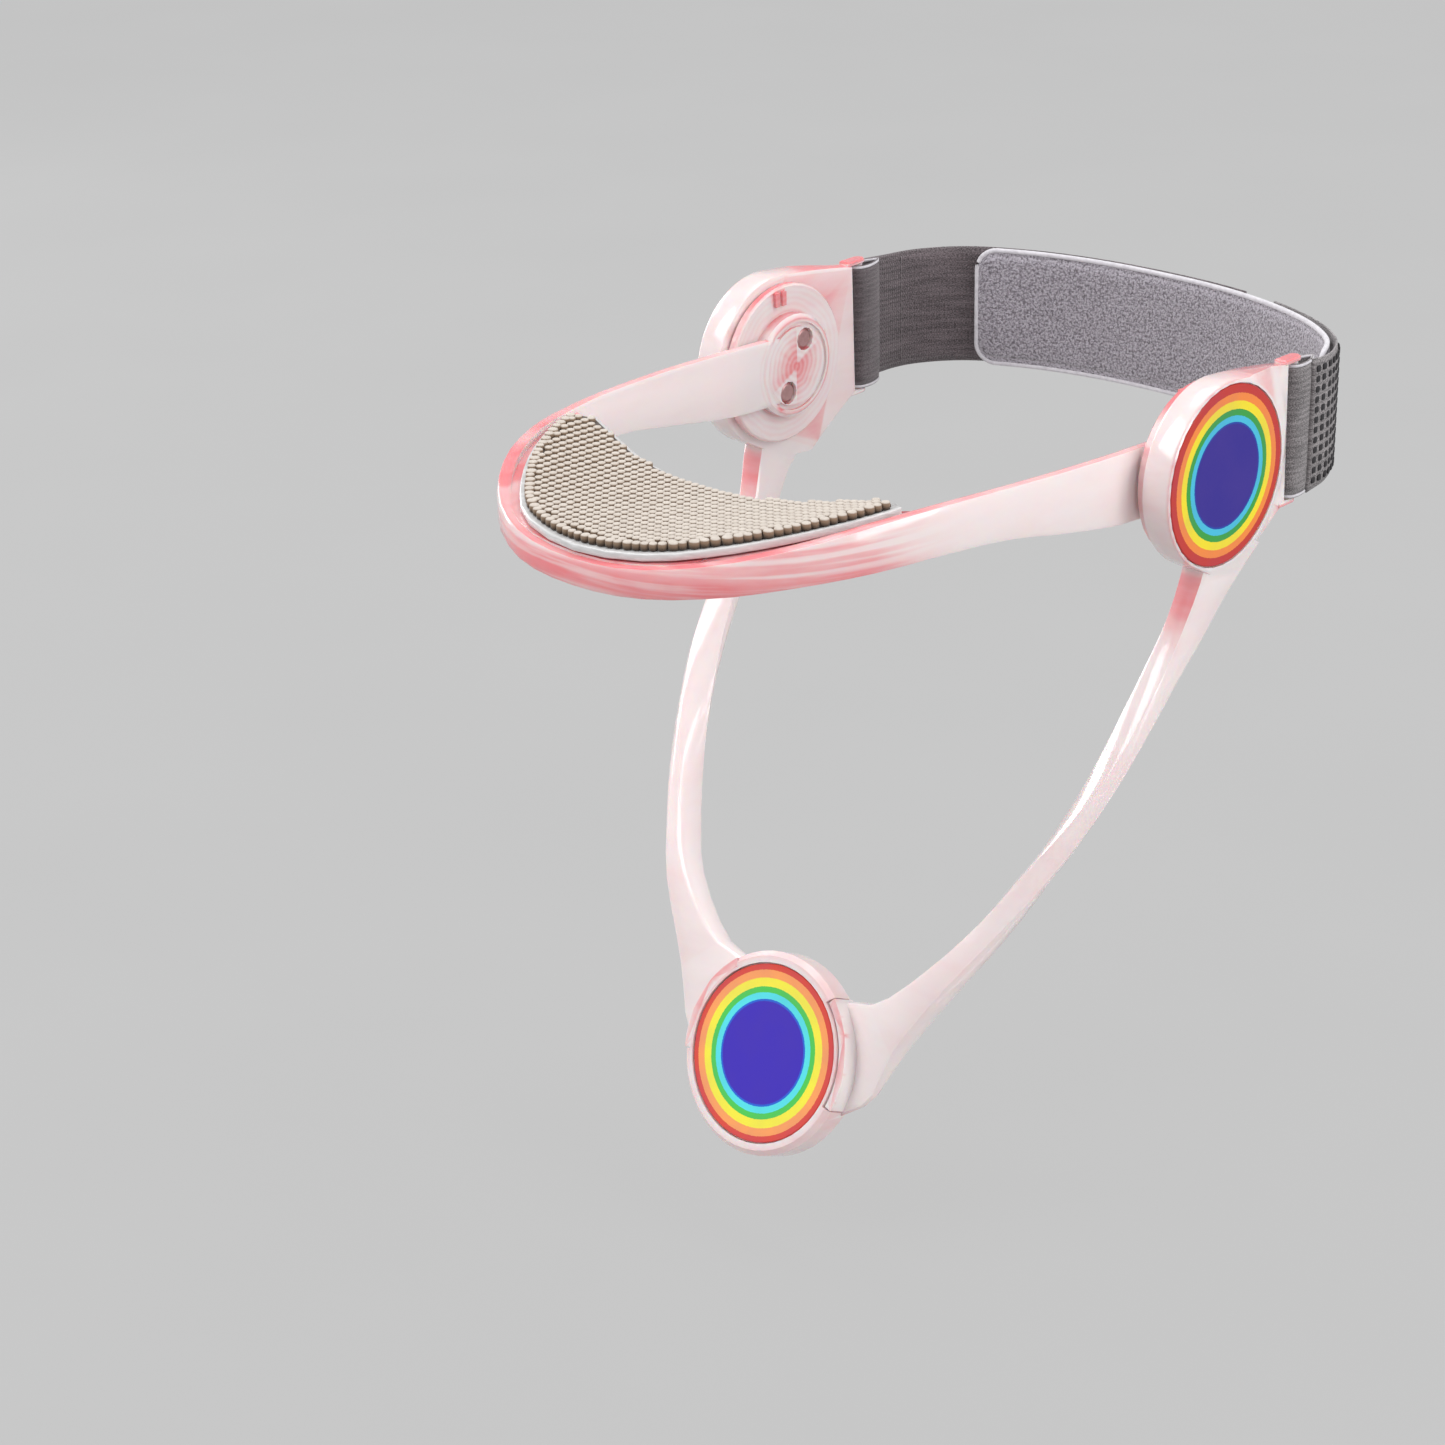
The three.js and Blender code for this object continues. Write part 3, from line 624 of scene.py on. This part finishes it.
# %% [markdown]
# ## Smooth outlines
# The pad and the strap follow smooth curves through a few points. A centripetal curve passes
# through every point without loops or overshoot. The pad is the same on both sides, so only
# its right half is given; the strap hangs a little unevenly, so all of its points are.


# %% A curve through points
def both_sides(right_half):
    """The right half, then its mirror image back from the centre line."""
    return right_half + [(-x, y) for x, y in reversed(right_half[:-1])]


class SmoothCurve:
    """A curve through points in mm, measured in metres along STEPS short chords."""

    STEPS = 400

    def __init__(self, places):
        self.points = [Vector((x, y, 0)) * MM for x, y in places]
        table = [self.at(i / self.STEPS) for i in range(self.STEPS + 1)]
        self.reach = [0.0]
        for before, after in zip(table, table[1:]):
            self.reach.append(self.reach[-1] + (after - before).length)

    @property
    def length(self):
        return self.reach[-1]

    def at(self, share):
        last = len(self.points) - 1
        place = min(max(share, 0), 1) * last
        i = min(int(place), last - 1)
        b, c = self.points[i], self.points[i + 1]
        a = self.points[i - 1] if i else b * 2 - c
        d = self.points[i + 2] if i < last - 1 else c * 2 - b
        gaps = [math.sqrt((q - p).length) for p, q in ((a, b), (b, c), (c, d))]
        start = ((b - a) / gaps[0] - (c - a) / (gaps[0] + gaps[1]) + (c - b) / gaps[1]) * gaps[1]
        end = ((c - b) / gaps[1] - (d - b) / (gaps[1] + gaps[2]) + (d - c) / gaps[2]) * gaps[1]
        t = place - i
        bend = 3 * (c - b) - 2 * start - end
        return b + t * start + t * t * bend + t ** 3 * (2 * (b - c) + start + end)

    def walk(self, distance):
        """The point and direction at a distance along the curve, in metres."""
        distance = min(max(distance, 0), self.length)
        i = next(k for k in range(1, self.STEPS + 1) if self.reach[k] >= distance - 1e-12)
        span = self.reach[i] - self.reach[i - 1]
        share = (i - 1 + (distance - self.reach[i - 1]) / span) / self.STEPS
        ahead, behind = self.at(min(share + 0.002, 1)), self.at(max(share - 0.002, 0))
        return self.at(share), (ahead - behind).normalized()


PAD_FRONT = [(45.7, -83.1), (43.1, -91.3), (36.9, -102.8), (28.4, -113.2), (18, -121.9), (0, -126.1)]
PAD_BACK = [(41.8, -80.4), (34.6, -82.4), (20.6, -86.4), (0, -87.7)]
NECK = [
    (63.5, 35), (63, 42), (58.8, 51), (50, 59), (36, 66), (18, 70.8), (-2, 72.3), (-22, 71.3),
    (-40, 67.2), (-54, 60.2), (-61.5, 50.5), (-63.5, 41), (-63.5, 35),
]
pad_outer = SmoothCurve(both_sides(PAD_FRONT))
pad_inner = SmoothCurve(both_sides(PAD_BACK))
neck = SmoothCurve(NECK)
print("neck curve", round(neck.length / MM), "mm, pad front", round(pad_outer.length / MM), "mm")

# %% [markdown]
# ## Chin pad rubber
# The chin rests on a soft rubber pad that looks pale on top and dark in its gaps. The dark is
# shade: it could be left to real shadow, but in soft even light it would nearly vanish. Each peg
# of the pad stores how high every point stands on it, and the rubber colour is painted darker
# down its side by that height, as painted shade.


# %% Soft rubber with painted shade down the peg sides
def cloth_place(finish):
    """The two distances stored on a skin."""
    return finish.start.add("ShaderNodeUVMap", {"uv_map": "UVMap"})


def peg_rubber():
    rubber = Finish("peg_rubber", Specular_IOR_Level=0.3, Sheen_Weight=0.15)
    height = rubber.parts(cloth_place(rubber))[1]
    mottle = rubber.noise(rubber.place, 420.0, 3.0)
    top = mottle.mix(linear(178, 167, 156), linear(206, 197, 187))
    # Painted shade: the colour darkens down each peg's side to dark brown at its foot, while the top
    # stays pale.
    side = height.ramp(0.0, 0.7).mix(linear(70, 54, 42), linear(134, 112, 92))
    rubber.feed("Base Color", height.ramp(0.76, 0.95).mix(side, top))
    rubber.feed("Roughness", 0.7 + mottle * 0.25)
    rubber.raise_surface(rubber.noise(rubber.place, 2600.0, 2.0), 0.00008, 0.5)
    return rubber.material


pad_rubber = peg_rubber()
print("pad finish:", pad_rubber.name)

# %% [markdown]
# ## Peg field
# Hundreds of small pegs stand in straight rows, so close that they touch, and the eye reads
# them as a pale field with a dark dot wherever four pegs meet. The pegs could be a bump in the
# material, but the dark dots and the row of peg sides along the front edge need depth, so each
# one is a real rounded peg. A row of slightly uneven pegs follows the front edge, and the
# straight rows run up against it.

# %% Peg field
PAD_CENTRE_RISE = 2.7
PAD_SEAT = 4.5 * MM
PEG_PITCH = 1.95 * MM
PEG_RADIUS = 1.0 * MM
PEG_TOP = 1.9 * MM
PEG_FOOT = 0.3 * MM
PEG_SIDES = 12
PEG_GAP = 0.1 * MM
ROW_DRIFT = 0.1 * MM
EDGE_SPACING = 1.95
WEB_TOP = 0.9 * MM
seeded = random.Random(7)


def seat_height(x):
    """The pad's seat climbs a little to both sides, by the square of the distance."""
    return PAD_SEAT + PAD_CENTRE_RISE * x * x


OUTLINE_SHARES = [i / 60 for i in range(61)]
pad_outline = [pad_outer.at(share) for share in OUTLINE_SHARES]
pad_outline += [pad_inner.at(1 - share) for share in OUTLINE_SHARES]


def inside_pad(x, y, margin):
    """True where a peg stands clear of the pad's outline."""
    crossings = 0
    nearest = 1.0
    for p, q in zip(pad_outline, pad_outline[1:] + pad_outline[:1]):
        if (p.y > y) != (q.y > y) and x < (q.x - p.x) * (y - p.y) / (q.y - p.y) + p.x:
            crossings += 1
        edge = q - p
        t = ((x - p.x) * edge.x + (y - p.y) * edge.y) / max(edge.length_squared, 1e-12)
        t = max(0, min(1, t))
        nearest = min(nearest, math.hypot(p.x + edge.x * t - x, p.y + edge.y * t - y))
    return crossings % 2 == 1 and nearest > margin


PEG_PROFILE = ((0.97, 0.0), (0.99, 0.6), (0.96, 0.82), (0.84, 0.95), (0.45, 1.0))


def add_peg(form, x, y, radius, top):
    seat = seat_height(x) + PEG_FOOT
    turns = [2 * math.pi * k / PEG_SIDES for k in range(PEG_SIDES)]
    rings = []
    for share, height in PEG_PROFILE:
        z = seat + (top - PEG_FOOT) * height
        reach = radius * share
        rings.append([Vector((x + reach * math.cos(t), y + reach * math.sin(t), z)) for t in turns])
    skin(form, rings, cloth=lambda i, k: PEG_PROFILE[i])


def edge_pegs():
    """Pegs along the front edge, with the slightly uneven widths of the moulded edge."""
    found = []
    walked = PEG_RADIUS
    while walked < pad_outer.length - PEG_RADIUS * 0.4:
        radius = PEG_RADIUS * seeded.uniform(0.9, 1.25)
        point, along = pad_outer.walk(walked)
        spot = point + Vector((along.y, -along.x, 0)) * radius * 0.5
        found.append((spot.x, spot.y, radius))
        walked += radius * EDGE_SPACING
    return found


def pad_pegs():
    front_row = edge_pegs()
    field = []
    for row in range(-66, -38):
        for column in range(-25, 26):
            x = column * PEG_PITCH + row * ROW_DRIFT
            y = row * PEG_PITCH
            clear = all(math.hypot(x - a, y - b) > r + PEG_GAP for a, b, r in front_row)
            if clear and inside_pad(x, y, PEG_RADIUS * 0.8):
                field.append((x, y, PEG_RADIUS * seeded.uniform(0.97, 1.0)))
    return front_row + field


def pad_base(form):
    """The thin web that carries the pegs, drawn in a little from the pad's outline."""
    rings = []
    for share in OUTLINE_SHARES:
        outer, inner = pad_outer.at(share), pad_inner.at(share)
        back, front = inner.lerp(outer, 0.012), outer.lerp(inner, 0.012)
        corners = ((back, PEG_FOOT), (front, PEG_FOOT), (front, WEB_TOP), (back, WEB_TOP))
        rings.append([Vector((p.x, p.y, seat_height(p.x) + lift)) for p, lift in corners])
    skin(form, rings)


def chin_pad():
    form = bmesh.new()
    pad_base(form)
    pegs = pad_pegs()
    for x, y, radius in pegs:
        add_peg(form, x, y, radius, PEG_TOP * seeded.uniform(0.95, 1.0))
    piece = new_piece("ribbed_chin_pad", form, pad_rubber, "yoke")
    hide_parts("chin_pad")
    print("pegs:", len(pegs))
    return piece


ribbed_pad = chin_pad()
print("pad faces:", len(ribbed_pad.data.polygons))

# %% [markdown]
# ## Grey rim
# A light grey moulded rim frames the pad. It could be swept again as a rounded lip, but its
# solid already has the right outline, so it keeps that and gets a small bevel and a satin
# finish with faint streaks.


# %% Satin grey rim
def satin_rim():
    rim = Finish("satin_rim", Coat_Weight=0.4, Coat_Roughness=0.15, IOR=1.5)
    streak = rim.noise(rim.stretched(rim.place, (300, 300, 1800)), 1.0, 3.0)
    rim.feed("Base Color", streak.mix(linear(178, 176, 174), linear(224, 224, 224)))
    rim.feed("Roughness", 0.16 + streak * 0.2)
    rim.raise_surface(streak, 0.00006, 0.4)
    return rim.material


rim = dress("pad_rim", satin_rim(), 0.35, 50)
print("rim finish:", rim.active_material.name)

# %% [markdown]
# ## Knitted elastic
# The strap is a dark ribbed elastic. Its knit is a field of small loops: ribs that run along
# the strap, crossed by finer rows, with lighter flecks of yarn. The ribs stand out where the
# strap is pulled tight round its bar, and the hollow of the loop gets painted shade, a near-black
# colour inside the fold. Modelling each yarn would take millions of faces, so the knit is a
# pattern of colour and bump. It reads the distances stored on the skin, so it bends with the strap.


# %% Elastic and brushed fabric
BAR_X = 63.4 * MM
BAR_Y = 31 * MM
PULLED_Y = (0.041, 0.050)
LOOP_SHADE_RADIUS_MM = (1.8, 2.0)
PANEL_CLOTH = 30.0
PRESSED_START = (12.3, 13.0)
PRESSED_END = (13.6, 14.1)


def knitted_elastic(name, dark, light, rib=1.15, row=0.62):
    knit = Finish(name, Roughness=0.95, Sheen_Weight=0.3, Sheen_Roughness=0.6, Specular_IOR_Level=0.2)
    along, across, _ = knit.parts(cloth_place(knit))
    x, y, _ = knit.parts(knit.place)
    ribs = (across * (math.tau / rib)).maths("SINE")
    rows = (along * (math.tau / row) + ribs * 1.4).maths("SINE")
    yarn = knit.noise(knit.stretched(cloth_place(knit), (1.9, 4.2, 1)), 1.0, 4.0)
    slub = knit.noise(knit.stretched(cloth_place(knit), (0.1, 0.7, 1)), 1.0, 3.0)
    pulled = 1 - y.ramp(*PULLED_Y)
    height = ribs * (0.12 + pulled * 0.16) + rows * 0.18 + yarn * 1.2
    tone = (ribs * (0.03 + pulled * 0.03) + yarn * 1.5 + slub * 0.6 - 1.05).ramp(-0.35, 0.4)
    off_bar = x.maths("ABSOLUTE") - BAR_X
    from_bar = (off_bar * off_bar + (y - BAR_Y) * (y - BAR_Y)).maths("SQRT")
    # Painted shade: round the bar, inside the hollow of the loop, the knit is painted near-black.
    painted_loop_shade = 1 - (from_bar * 1000).ramp(*LOOP_SHADE_RADIUS_MM)
    knit.feed("Base Color", painted_loop_shade.mix(tone.mix(dark, light), linear(30, 27, 29)))
    knit.raise_surface(height, 0.0003, 0.9)
    return knit.material


def brushed_panel():
    """Loop pile with dark flecks between the tufts, and a flattened strip beside the binding.

    PANEL_CLOTH is the cloth from edge to edge, in mm, measured over the crown.
    """
    brushed = Finish("brushed_panel", Roughness=1.0, Sheen_Weight=0.35, Sheen_Roughness=0.7)
    place = cloth_place(brushed)
    across = brushed.parts(place)[1]
    tufts = brushed.noise(place, 1.5, 3.0, 0.7)
    fibre = brushed.noise(place, 3.6, 2.0)
    loops = brushed.cells(place, 2.0)
    from_middle = (across - PANEL_CLOTH / 2).maths("ABSOLUTE")
    pressed = from_middle.ramp(*PRESSED_START) * (1 - from_middle.ramp(*PRESSED_END))
    tone = (tufts + fibre * 0.35 - loops * 0.3 + pressed * 0.05).ramp(0.32, 0.7)
    brushed.feed("Base Color", tone.mix(linear(88, 79, 88), linear(186, 179, 189)))
    brushed.raise_surface(tufts * 0.8 + fibre * 0.5 - loops * 0.5 - pressed * 0.6, 0.0006, 1.0)
    return brushed.material


def bound_edge():
    edge = Finish("bound_edge", Roughness=0.8, Sheen_Weight=0.5, Sheen_Roughness=0.4)
    twist = edge.noise(edge.place, 900.0, 3.0)
    edge.feed("Base Color", twist.mix(linear(180, 176, 182), linear(222, 219, 223)))
    edge.raise_surface(twist, 0.00025, 0.8)
    return edge.material


dark_knit = knitted_elastic("dark_knit", linear(52, 44, 46), linear(122, 110, 114))
grey_knit = knitted_elastic("grey_knit", linear(66, 61, 62), linear(164, 157, 158))
panel_fabric = brushed_panel()
white_edge = bound_edge()
print("fabrics:", dark_knit.name, grey_knit.name, panel_fabric.name)

# %% [markdown]
# ## Flat strap with rounded edges
# A strap is skinned from rings that go up its outer face, over the top edge, down the inner
# face and round the bottom edge. The height may change along the strap, because the knit
# spreads where it is folded round its bar.


# %% Strap skin
STRAP_MID = 1.5 * MM
STRAP_ROWS = 10
STRAP_HEIGHT = 29.4 * MM
STRAP_THICK = 1.3 * MM
LAYER = 2.05 * MM
LOOP_HEIGHT = 31 * MM
LOOP_WALL = 0.9 * MM
EDGE_SHARE = 0.35
LOOP_CLOTH_STEP = 1.3  # mm of cloth from one ring of a loop to the next
ROW_CLOTH_STEP = 2.9  # mm of cloth from one row of a loop to the next


def outward_of(along):
    """The level direction that points away from the neck, square to the curve."""
    return Vector((along.y, -along.x, 0))


def up_and_down(rows):
    """The face (1 outer, -1 inner) and row of each point round a cross-section."""
    return [(1, k) for k in range(rows + 1)] + [(-1, k) for k in range(rows, -1, -1)]


def strap_ring(point, outward, offset, thick, height):
    """Points round one cross-section, starting low on the outer face."""
    ring = []
    for side, row in up_and_down(STRAP_ROWS):
        share = 2 * row / STRAP_ROWS - 1
        bulge = EDGE_SHARE + (1 - EDGE_SHARE) * math.sqrt(max(0.0, 1 - abs(share) ** 8))
        reach = offset + side * thick / 2 * bulge
        ring.append(point + outward * reach + Vector((0, 0, STRAP_MID + height / 2 * share)))
    return ring


def strap(form, start, end, height_at, step=1.6 * MM):
    """A flat strap along the neck curve, between two distances."""
    count = max(2, round((end - start) / step))
    distances = [start + (end - start) * i / count for i in range(count + 1)]
    rows = up_and_down(STRAP_ROWS)
    rings = []
    for distance in distances:
        point, along = neck.walk(distance)
        height = height_at(distance)
        rings.append(strap_ring(point, outward_of(along), LAYER, STRAP_THICK, height))

    def cloth(i, k):
        return (distances[i] / MM, height_at(start) / MM * rows[k][1] / STRAP_ROWS)

    skin(form, rings, cloth=cloth)


def strap_loop(form, side, length=7.4 * MM, radius=2.1 * MM):
    """The closed loop of strap round its bar: a round front and a pinched tail."""
    centre_x = side * BAR_X
    line = []
    for i in range(13):
        turn = math.pi + math.pi * i / 12
        spot = (centre_x + radius * math.cos(turn), BAR_Y + radius * math.sin(turn), 0)
        line.append(Vector(spot))
    tail = [(radius * (1 - (i / 8) ** 2.4) + 0.1 * MM, length * i / 8) for i in range(1, 8)]
    line += [Vector((centre_x + pinch, BAR_Y + back, 0)) for pinch, back in tail]
    line.append(Vector((centre_x, BAR_Y + length, 0)))
    line += [Vector((centre_x - pinch, BAR_Y + back, 0)) for pinch, back in reversed(tail)]
    rings = []
    for i, point in enumerate(line):
        along = (line[(i + 1) % len(line)] - line[i - 1]).normalized()
        rings.append(strap_ring(point, outward_of(along), 0, LOOP_WALL, LOOP_HEIGHT))
    rows = up_and_down(STRAP_ROWS)

    def cloth(i, k):
        return (i * LOOP_CLOTH_STEP, rows[k][1] * ROW_CLOTH_STEP)

    skin(form, rings, closed=True, cloth=cloth)
    return line


print("points round a strap:", len(up_and_down(STRAP_ROWS)))

# %% [markdown]
# ## The dark elastic
# One end loops round the left bar and is stitched shut. The band then runs behind the neck,
# outside the soft panel, where hook-and-loop grips it. A cloth simulation could hang it, but
# the strap is pulled tight in use, so it is swept along the neck curve.

# %% Left loop and band
BAND_SHARE = 0.64
EDGING_RADIUS = 0.42 * MM
FLARE_REACH = 12 * MM


def flared(distance_from_loop):
    """Full loop height at the fold, easing to the plain strap height."""
    ease = max(0.0, 1 - distance_from_loop / FLARE_REACH)
    return STRAP_HEIGHT + (LOOP_HEIGHT - STRAP_HEIGHT) * ease * ease


def loop_edging(name, body, line):
    """The pale overlocked yarn along the two cut edges of a loop."""
    form = bmesh.new()
    for side in (-1, 1):
        z = STRAP_MID + side * (LOOP_HEIGHT / 2 - LOOP_WALL / 2)
        tube(form, [Vector((p.x, p.y, z)) for p in line], EDGING_RADIUS, 6, closed=True)
    return new_piece(name, form, white_edge, body)


def elastic_band():
    form = bmesh.new()
    line = strap_loop(form, -1)
    start = (1 - BAND_SHARE) * neck.length
    strap(form, start, neck.length, lambda distance: flared(neck.length - distance))
    piece = new_piece("elastic_band", form, dark_knit, "band")
    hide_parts("neck_band")
    trim = loop_edging("band_loop_edging", "band", line)
    return piece


band = elastic_band()
print("dark strap faces:", len(band.data.polygons))

# %% [markdown]
# ## The tab
# The right strap is a lighter knit. Its loop takes the right bar, its outer face carries a
# field of small square grip dots, and the soft panel is sewn to its inner face. The dots could
# be painted on, but they stand proud of the knit, so each one is a small raised tile.


# %% Right loop, strap and grip dots
TAB_SHARE = 0.3


def tab_strap():
    form = bmesh.new()
    line = strap_loop(form, 1)
    strap(form, 0, TAB_SHARE * neck.length, flared)
    piece = new_piece("tab_elastic", form, grey_knit, "tab")
    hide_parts("tab_strap")
    trim = loop_edging("tab_loop_edging", "tab", line)
    return piece


def grip_dot_rubber():
    dots = Finish("grip_dot_rubber", Specular_IOR_Level=0.4)
    speck = dots.noise(dots.place, 3000.0, 2.0)
    dots.feed("Base Color", speck.mix(linear(22, 20, 22), linear(46, 43, 46)))
    dots.feed("Roughness", 0.45 + speck * 0.3)
    dots.raise_surface(speck, 0.00006, 0.5)
    return dots.material


DOT_CORNERS = ((-1, -0.7), (-0.7, -1), (0.7, -1), (1, -0.7), (1, 0.7), (0.7, 1), (-0.7, 1), (-1, 0.7))


def grip_dots(rows=12, columns=8, pitch=2.35 * MM, size=1.45 * MM, first=1.9 * MM):
    form = bmesh.new()
    for column in range(columns):
        point, along = neck.walk(first + column * pitch)
        outward = outward_of(along)
        base = point + outward * (LAYER + STRAP_THICK / 2 - 0.1 * MM)
        for row in range(rows):
            z = STRAP_MID + (row - (rows - 1) / 2) * pitch
            centre = base + Vector((0, 0, z)) + along * seeded.uniform(-0.1, 0.1) * MM
            rings = []
            for share, lift in ((1.0, 0.0), (0.94, 0.22), (0.7, 0.34)):
                half = size / 2 * share
                raised = centre + outward * lift * MM
                ring = [raised + along * (a * half) + Vector((0, 0, b * half)) for a, b in DOT_CORNERS]
                rings.append(ring)
            skin(form, rings)
    return new_piece("grip_dots", form, grip_dot_rubber(), "tab")


tab = tab_strap()
dots = grip_dots()
print("tab and grip dots:", len(tab.data.polygons), "and", len(dots.data.polygons), "faces")

# %% [markdown]
# ## Soft inner panel
# The panel is a thin padded slab covered in brushed loop fabric, with rounded corners and a
# white bound edge. It crowns slightly between its edges. Its outline is worked out first, and
# both the slab and the binding follow it.

# %% Panel and binding
PANEL_HALF = STRAP_HEIGHT / 2
PANEL_CORNER = 5 * MM
PANEL_THICK = 2.2 * MM
PANEL_FROM = 0.036
PANEL_TO = 0.813
PANEL_INSET = 0.4 * MM
PANEL_EASE = 2.5 * MM


def panel_half_height(distance, start, end):
    """Half the panel's height at a distance along the neck curve, round at the corners."""
    from_end = min(distance - start, end - distance)
    if from_end >= PANEL_CORNER:
        return PANEL_HALF
    drop = PANEL_CORNER - math.sqrt(max(0.0, PANEL_CORNER ** 2 - (PANEL_CORNER - from_end) ** 2))
    return PANEL_HALF - drop


def panel_stations(start, end):
    """Close together round the corners, wider along the straight."""
    corner = [PANEL_CORNER * (1 - math.cos(math.pi / 2 * i / 8)) for i in range(9)]
    middle_count = round((end - start - 2 * PANEL_CORNER) / (1.8 * MM))
    span = end - start - 2 * PANEL_CORNER
    middle = [start + PANEL_CORNER + span * i / middle_count for i in range(1, middle_count)]
    return [start + c for c in corner] + middle + [end - c for c in reversed(corner)]


def soft_panel_piece(start, end, row_count=14):
    """The slab thins to EDGE_SHARE of its thickness at its two ends."""
    stations = panel_stations(start, end)
    rows = up_and_down(row_count)
    rings = []
    for distance in stations:
        point, along = neck.walk(distance)
        half = max(panel_half_height(distance, start, end), 0.4 * MM)
        from_end = min(distance - start, end - distance)
        edge = min(1.0, EDGE_SHARE + (1 - EDGE_SHARE) * from_end / PANEL_EASE)
        ring = []
        for side, row in rows:
            share = 2 * row / row_count - 1
            crown = (1 - abs(share) ** 5) ** 0.5
            reach = side * PANEL_THICK / 2 * crown * edge
            lift = Vector((0, 0, STRAP_MID + half * share))
            ring.append(point + outward_of(along) * reach + lift)
        rings.append(ring)

    def cloth(i, k):
        return (stations[i] / MM, PANEL_CLOTH * rows[k][1] / row_count)

    form = bmesh.new()
    skin(form, rings, cloth=cloth)
    return new_piece("soft_panel", form, panel_fabric, "tab")


def binding(start, end, radius=0.62 * MM):
    stations = panel_stations(start, end)
    path = []
    for sign, order in ((1, stations), (-1, list(reversed(stations)))):
        for distance in order:
            point, _ = neck.walk(distance)
            half = panel_half_height(distance, start, end) - radius * 0.4
            path.append(point + Vector((0, 0, STRAP_MID + sign * half)))
    form = bmesh.new()
    tube(form, path, radius, 8, closed=True)
    return new_piece("panel_binding", form, white_edge, "tab")


panel_start = PANEL_FROM * neck.length + PANEL_INSET
panel_end = PANEL_TO * neck.length - PANEL_INSET
panel = soft_panel_piece(panel_start, panel_end)
edge = binding(panel_start, panel_end)
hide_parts("tab_panel")
print("panel", round((panel_end - panel_start) / MM), "mm long")

# %% [markdown]
# ## Seams
# Thread shows where the dark strap's loop is closed: two rows of short raised stitches beside
# the fold and one more where the folded end stops, on both faces. Each stitch is a short arched
# tube, because a painted line would look flat so close to the fold. The lighter strap hides its
# seam under the grip dots.


# %% Rows of stitches
def thread():
    cotton = Finish("thread", Roughness=0.75, Sheen_Weight=0.4)
    ply = cotton.noise(cotton.place, 2400.0, 2.0)
    cotton.feed("Base Color", ply.mix(linear(88, 78, 80), linear(132, 122, 125)))
    cotton.raise_surface(ply, 0.0001, 0.6)
    return cotton.material


SEAM_STEPS = (3.0, 4.2, 12.5)
THREAD_RADIUS = 0.17 * MM


def seam(name, distance, face, length=1.5 * MM, gap=0.8 * MM):
    """A row of stitches up the strap; face is 1 for the outer face and -1 for the inner."""
    form = bmesh.new()
    point, along = neck.walk(distance)
    outward = outward_of(along)
    base = point + outward * (LAYER + face * STRAP_THICK / 2)
    z = -STRAP_HEIGHT / 2 + 1.5 * MM
    while z + length < STRAP_HEIGHT / 2 - 1 * MM:
        low = base + Vector((0, 0, STRAP_MID + z))
        high = base + Vector((0, 0, STRAP_MID + z + length))
        middle = (low + high) / 2 + outward * face * 0.16 * MM
        tube(form, [low, middle, high], THREAD_RADIUS, 6)
        z += length + gap
    return new_piece(name, form, cotton_thread, "band")


cotton_thread = thread()
seams = []
for face, label in ((1, "outer"), (-1, "inner")):
    for i, step in enumerate(SEAM_STEPS):
        seams.append(seam(f"band_seam_{label}_{i + 1}", neck.length - step * MM, face))
print("seams:", len(seams))

# %% [markdown]
# ## Chest cushion
# The face that rests on the breastbone is a soft silicone disc, crowned, with a few shallow
# rings that grip the skin. A bevelled cylinder would come close, but one lathed outline gives
# the crown and the rings at once.


# %% Lathed silicone cushion
def soft_silicone():
    silicone = Finish("soft_silicone", Subsurface_Weight=0.3, Specular_IOR_Level=0.4)
    silicone.shader.inputs["Subsurface Scale"].default_value = 0.004
    bloom = silicone.noise(silicone.place, 260.0, 4.0)
    silicone.feed("Base Color", bloom.mix(linear(232, 196, 194), linear(246, 220, 216)))
    silicone.feed("Roughness", 0.42 + bloom * 0.25)
    silicone.raise_surface(silicone.noise(silicone.place, 1800.0, 2.0), 0.00006, 0.5)
    return silicone.material


CUSHION_THICK = 4.5 * MM
CUSHION_RIM = [(0.86, 0.0), (0.97, 0.06), (1.0, 0.3), (1.0, 0.6), (0.96, 0.84), (0.88, 0.95)]


def cushion_profile(steps=25):
    """Radius and height as shares: the round rim, then shallow rings in to the middle."""
    profile = list(CUSHION_RIM)
    for i in range(1, steps):
        share = 0.88 * (1 - i / steps)
        ripple = 0.035 * math.cos(share * 22)
        profile.append((share, 0.97 - 0.03 * (share / 0.88) ** 2 + ripple - 0.035))
    return profile


def chest_cushion(sides=72):
    rest = mounts["chest_rest"]
    back = Vector(rest["axis"])
    face = Vector(rest["pos_m"])
    low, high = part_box("chest_pad")
    radius = (high.x - low.x) / 2
    up = back.cross(Vector((1, 0, 0)))
    form = bmesh.new()
    rings = []
    for share, height in cushion_profile():
        turns = [2 * math.pi * k / sides for k in range(sides)]
        middle = face - back * CUSHION_THICK * (1 - height)
        reach = radius * share
        flat = [Vector((1, 0, 0)) * math.cos(t) + up * math.sin(t) for t in turns]
        rings.append([middle + arm * reach for arm in flat])
    skin(form, rings)
    piece = new_piece("chest_cushion", form, soft_silicone(), "support_frame")
    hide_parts("chest_pad")
    return piece


cushion = chest_cushion()
print("cushion", round(cushion.dimensions.x / MM, 1), "mm across")

# %% [markdown]
# ## Last look
# The finished model must keep the size of the imported one. How far each side of its box has
# grown over the imported box is printed, so that any piece that has grown shows at once.

# %% Write the sizes and finish
shown_low, shown_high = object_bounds()
sizes = zip(cad_high - cad_low, shown_high - shown_low)
print("grown by mm:", [round((shown - packed) / MM, 1) for packed, shown in sizes])
